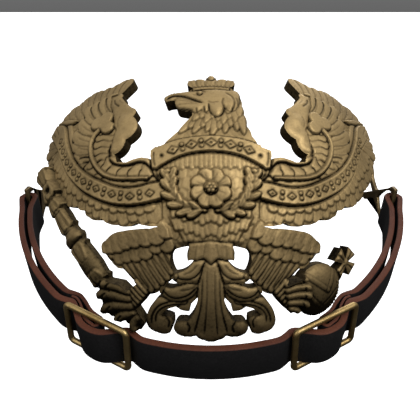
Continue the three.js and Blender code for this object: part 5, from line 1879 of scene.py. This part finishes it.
def slides():
    """Both slides, stood on the leather."""
    tree = slide_tree()
    made = []
    for name, hand in (("left", -1), ("right", 1)):
        mesh = made_by(tree, dict(Length=SLIDE["length"], Height=SLIDE["height"],
                                  Wire=SLIDE["wire"], Corner=SLIDE["corner"],
                                  Bar=SLIDE["bar"], Metal=WIRE_BRASS))
        flat = np.array([v.co for v in mesh.vertices])
        upright = flat[:, [0, 2, 1]] * (1, -1, 1)   # the frame stands up, and its +y is inward
        run = oval(hand * SLIDE["middle"] + 1, 0) - oval(hand * SLIDE["middle"] - 1, 0)
        placed = stand(upright, oval(hand * SLIDE["middle"], -SLIDE["inset"]),
                       (run[0], run[1], 0.75 * STRAP["slope"] * run[1]))
        mesh.vertices.foreach_set("co", to_metres(placed).astype(np.float32).ravel())
        mesh.update()
        piece = bpy.data.objects.new(f"slide_{name}", mesh)
        bpy.context.scene.collection.objects.link(piece)
        made.append((piece, f"buckle_{name}"))
    return made


for piece, node in slides():
    dress(piece, node)

# %% [markdown]
# A hanger is cut from flat brass: a bar that the leather folds round, a neck, and an eye for
# the post at the side of the helmet. The packed solid already has that shape, so a copy of it
# is merged, its flat faces are dissolved, and its edges are eased with a small bevel.

# %% The hangers


def hangers():
    """Copies of the solid hangers with eased edges."""
    made = []
    for name in ("left", "right"):
        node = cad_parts[f"hanger_{name}"]
        mesh = node.data.copy()
        mesh.materials.clear()
        mesh.materials.append(HANGER_BRASS)
        net = bmesh.new()
        net.from_mesh(mesh)
        bmesh.ops.remove_doubles(net, verts=net.verts, dist=1e-6)
        bmesh.ops.dissolve_limit(net, angle_limit=math.radians(1), verts=net.verts, edges=net.edges)
        sharp = [e for e in net.edges if e.calc_face_angle(0) > math.radians(50)]
        bmesh.ops.bevel(net, geom=sharp, offset=0.3 * MM, segments=2, affect="EDGES", profile=0.5)
        net.to_mesh(mesh)
        net.free()
        mesh.shade_smooth()
        mesh.set_sharp_from_angle(angle=math.radians(40))
        piece = bpy.data.objects.new(f"hanger_{name}_eased", mesh)
        bpy.context.scene.collection.objects.link(piece)
        made.append((piece, f"hanger_{name}"))
    return made


for piece, node in hangers():
    dress(piece, node)

# %% [markdown]
# The studio: a camera a little above the front, a large soft lamp high in front on the right,
# a weaker one on the left, and pale surroundings, over a white floor well below the strap.

# %% Camera
scene = bpy.context.scene
camera = bpy.data.cameras.new("camera")
camera.lens, camera.sensor_width = 43.46, 36
camera.shift_x = -0.0024
camera.clip_start, camera.clip_end = 0.01, 20
view = bpy.data.objects.new("camera", camera)
view.location = to_metres([0, -254.0, 124.4])
view.rotation_euler = (math.radians(90 - 24), 0, 0)
scene.collection.objects.link(view)
scene.camera = view
print("camera at", [round(v, 3) for v in view.location], "looks down by 24 degrees")

# %% Floor
FLOOR_HALF, FLOOR_DROP = 6, 0.15        # metres
level = cad_box[0][2] - FLOOR_DROP
floor_mesh = bpy.data.meshes.new("floor")
floor_mesh.from_pydata([(x * FLOOR_HALF, y * FLOOR_HALF, level)
                        for x, y in ((-1, -1), (1, -1), (1, 1), (-1, 1))], [], [(0, 1, 2, 3)])
pale = bpy.data.materials.new("floor")
pale.use_nodes = True
shader = pale.node_tree.nodes["Principled BSDF"]
for socket, value in (("Base Color", (0.9, 0.9, 0.9, 1)), ("Roughness", 1.0),
                      ("Emission Color", (1, 1, 1, 1)), ("Emission Strength", 0.75)):
    shader.inputs[socket].default_value = value
floor_mesh.materials.append(pale)
floor = bpy.data.objects.new("floor", floor_mesh)
floor.visible_glossy = False
floor.visible_diffuse = False
scene.collection.objects.link(floor)
print("floor", round(level, 3), "m below the origin")

# %% Lamps: name, place, size in metres, watts
LAMPS = (   # name, place, size, watts
    ("key", (0.58, -0.68, 0.86), 0.5, 8.4),
    ("fill", (-0.8, -0.5, 0.6), 0.6, 1.2),
    ("back", (0.3, 0.9, 0.5), 0.6, 3.0),
)
for name, spot, size, power in LAMPS:
    lamp = bpy.data.lights.new(name, "AREA")
    lamp.size, lamp.energy = size, power
    holder = bpy.data.objects.new(name, lamp)
    holder.location = spot
    holder.rotation_euler = (-Vector(spot)).to_track_quat("-Z", "Y").to_euler()
    scene.collection.objects.link(holder)
print("lamps:", len(LAMPS), "with", sum(lamp[3] for lamp in LAMPS), "watts")

# %% [markdown]
# Metal shows its surroundings more than its lamps. The room is bright overhead, dim at the
# height of the eye and dark below, which gives the relief its soft upper lights.

# %% The room round it: height from floor to ceiling, glow
ROOM = ((0.0, 0.03), (0.40, 0.045), (0.54, 0.2), (0.72, 0.54), (1.0, 0.86))
world = bpy.data.worlds.new("room")
world.use_nodes = True
tree = world.node_tree
way = tree.nodes.new("ShaderNodeTexCoord")
parts = tree.nodes.new("ShaderNodeSeparateXYZ")
ramp = tree.nodes.new("ShaderNodeValToRGB")
tree.links.new(way.outputs["Generated"], parts.inputs[0])
rise = tree.nodes.new("ShaderNodeMapRange")
rise.inputs["From Min"].default_value = -1.0
tree.links.new(parts.outputs["Z"], rise.inputs["Value"])
tree.links.new(rise.outputs[0], ramp.inputs[0])
tree.links.new(ramp.outputs[0], tree.nodes["Background"].inputs[0])
while len(ramp.color_ramp.elements) < len(ROOM):
    ramp.color_ramp.elements.new(0.5)
for stop, (place, glow) in zip(ramp.color_ramp.elements, ROOM):
    stop.position, stop.color = place, (glow, glow, glow, 1)
tree.nodes["Background"].inputs[1].default_value = 1.0
scene.world = world
scene.view_settings.view_transform = "Standard"
print("room:", len(ROOM), "steps of light")
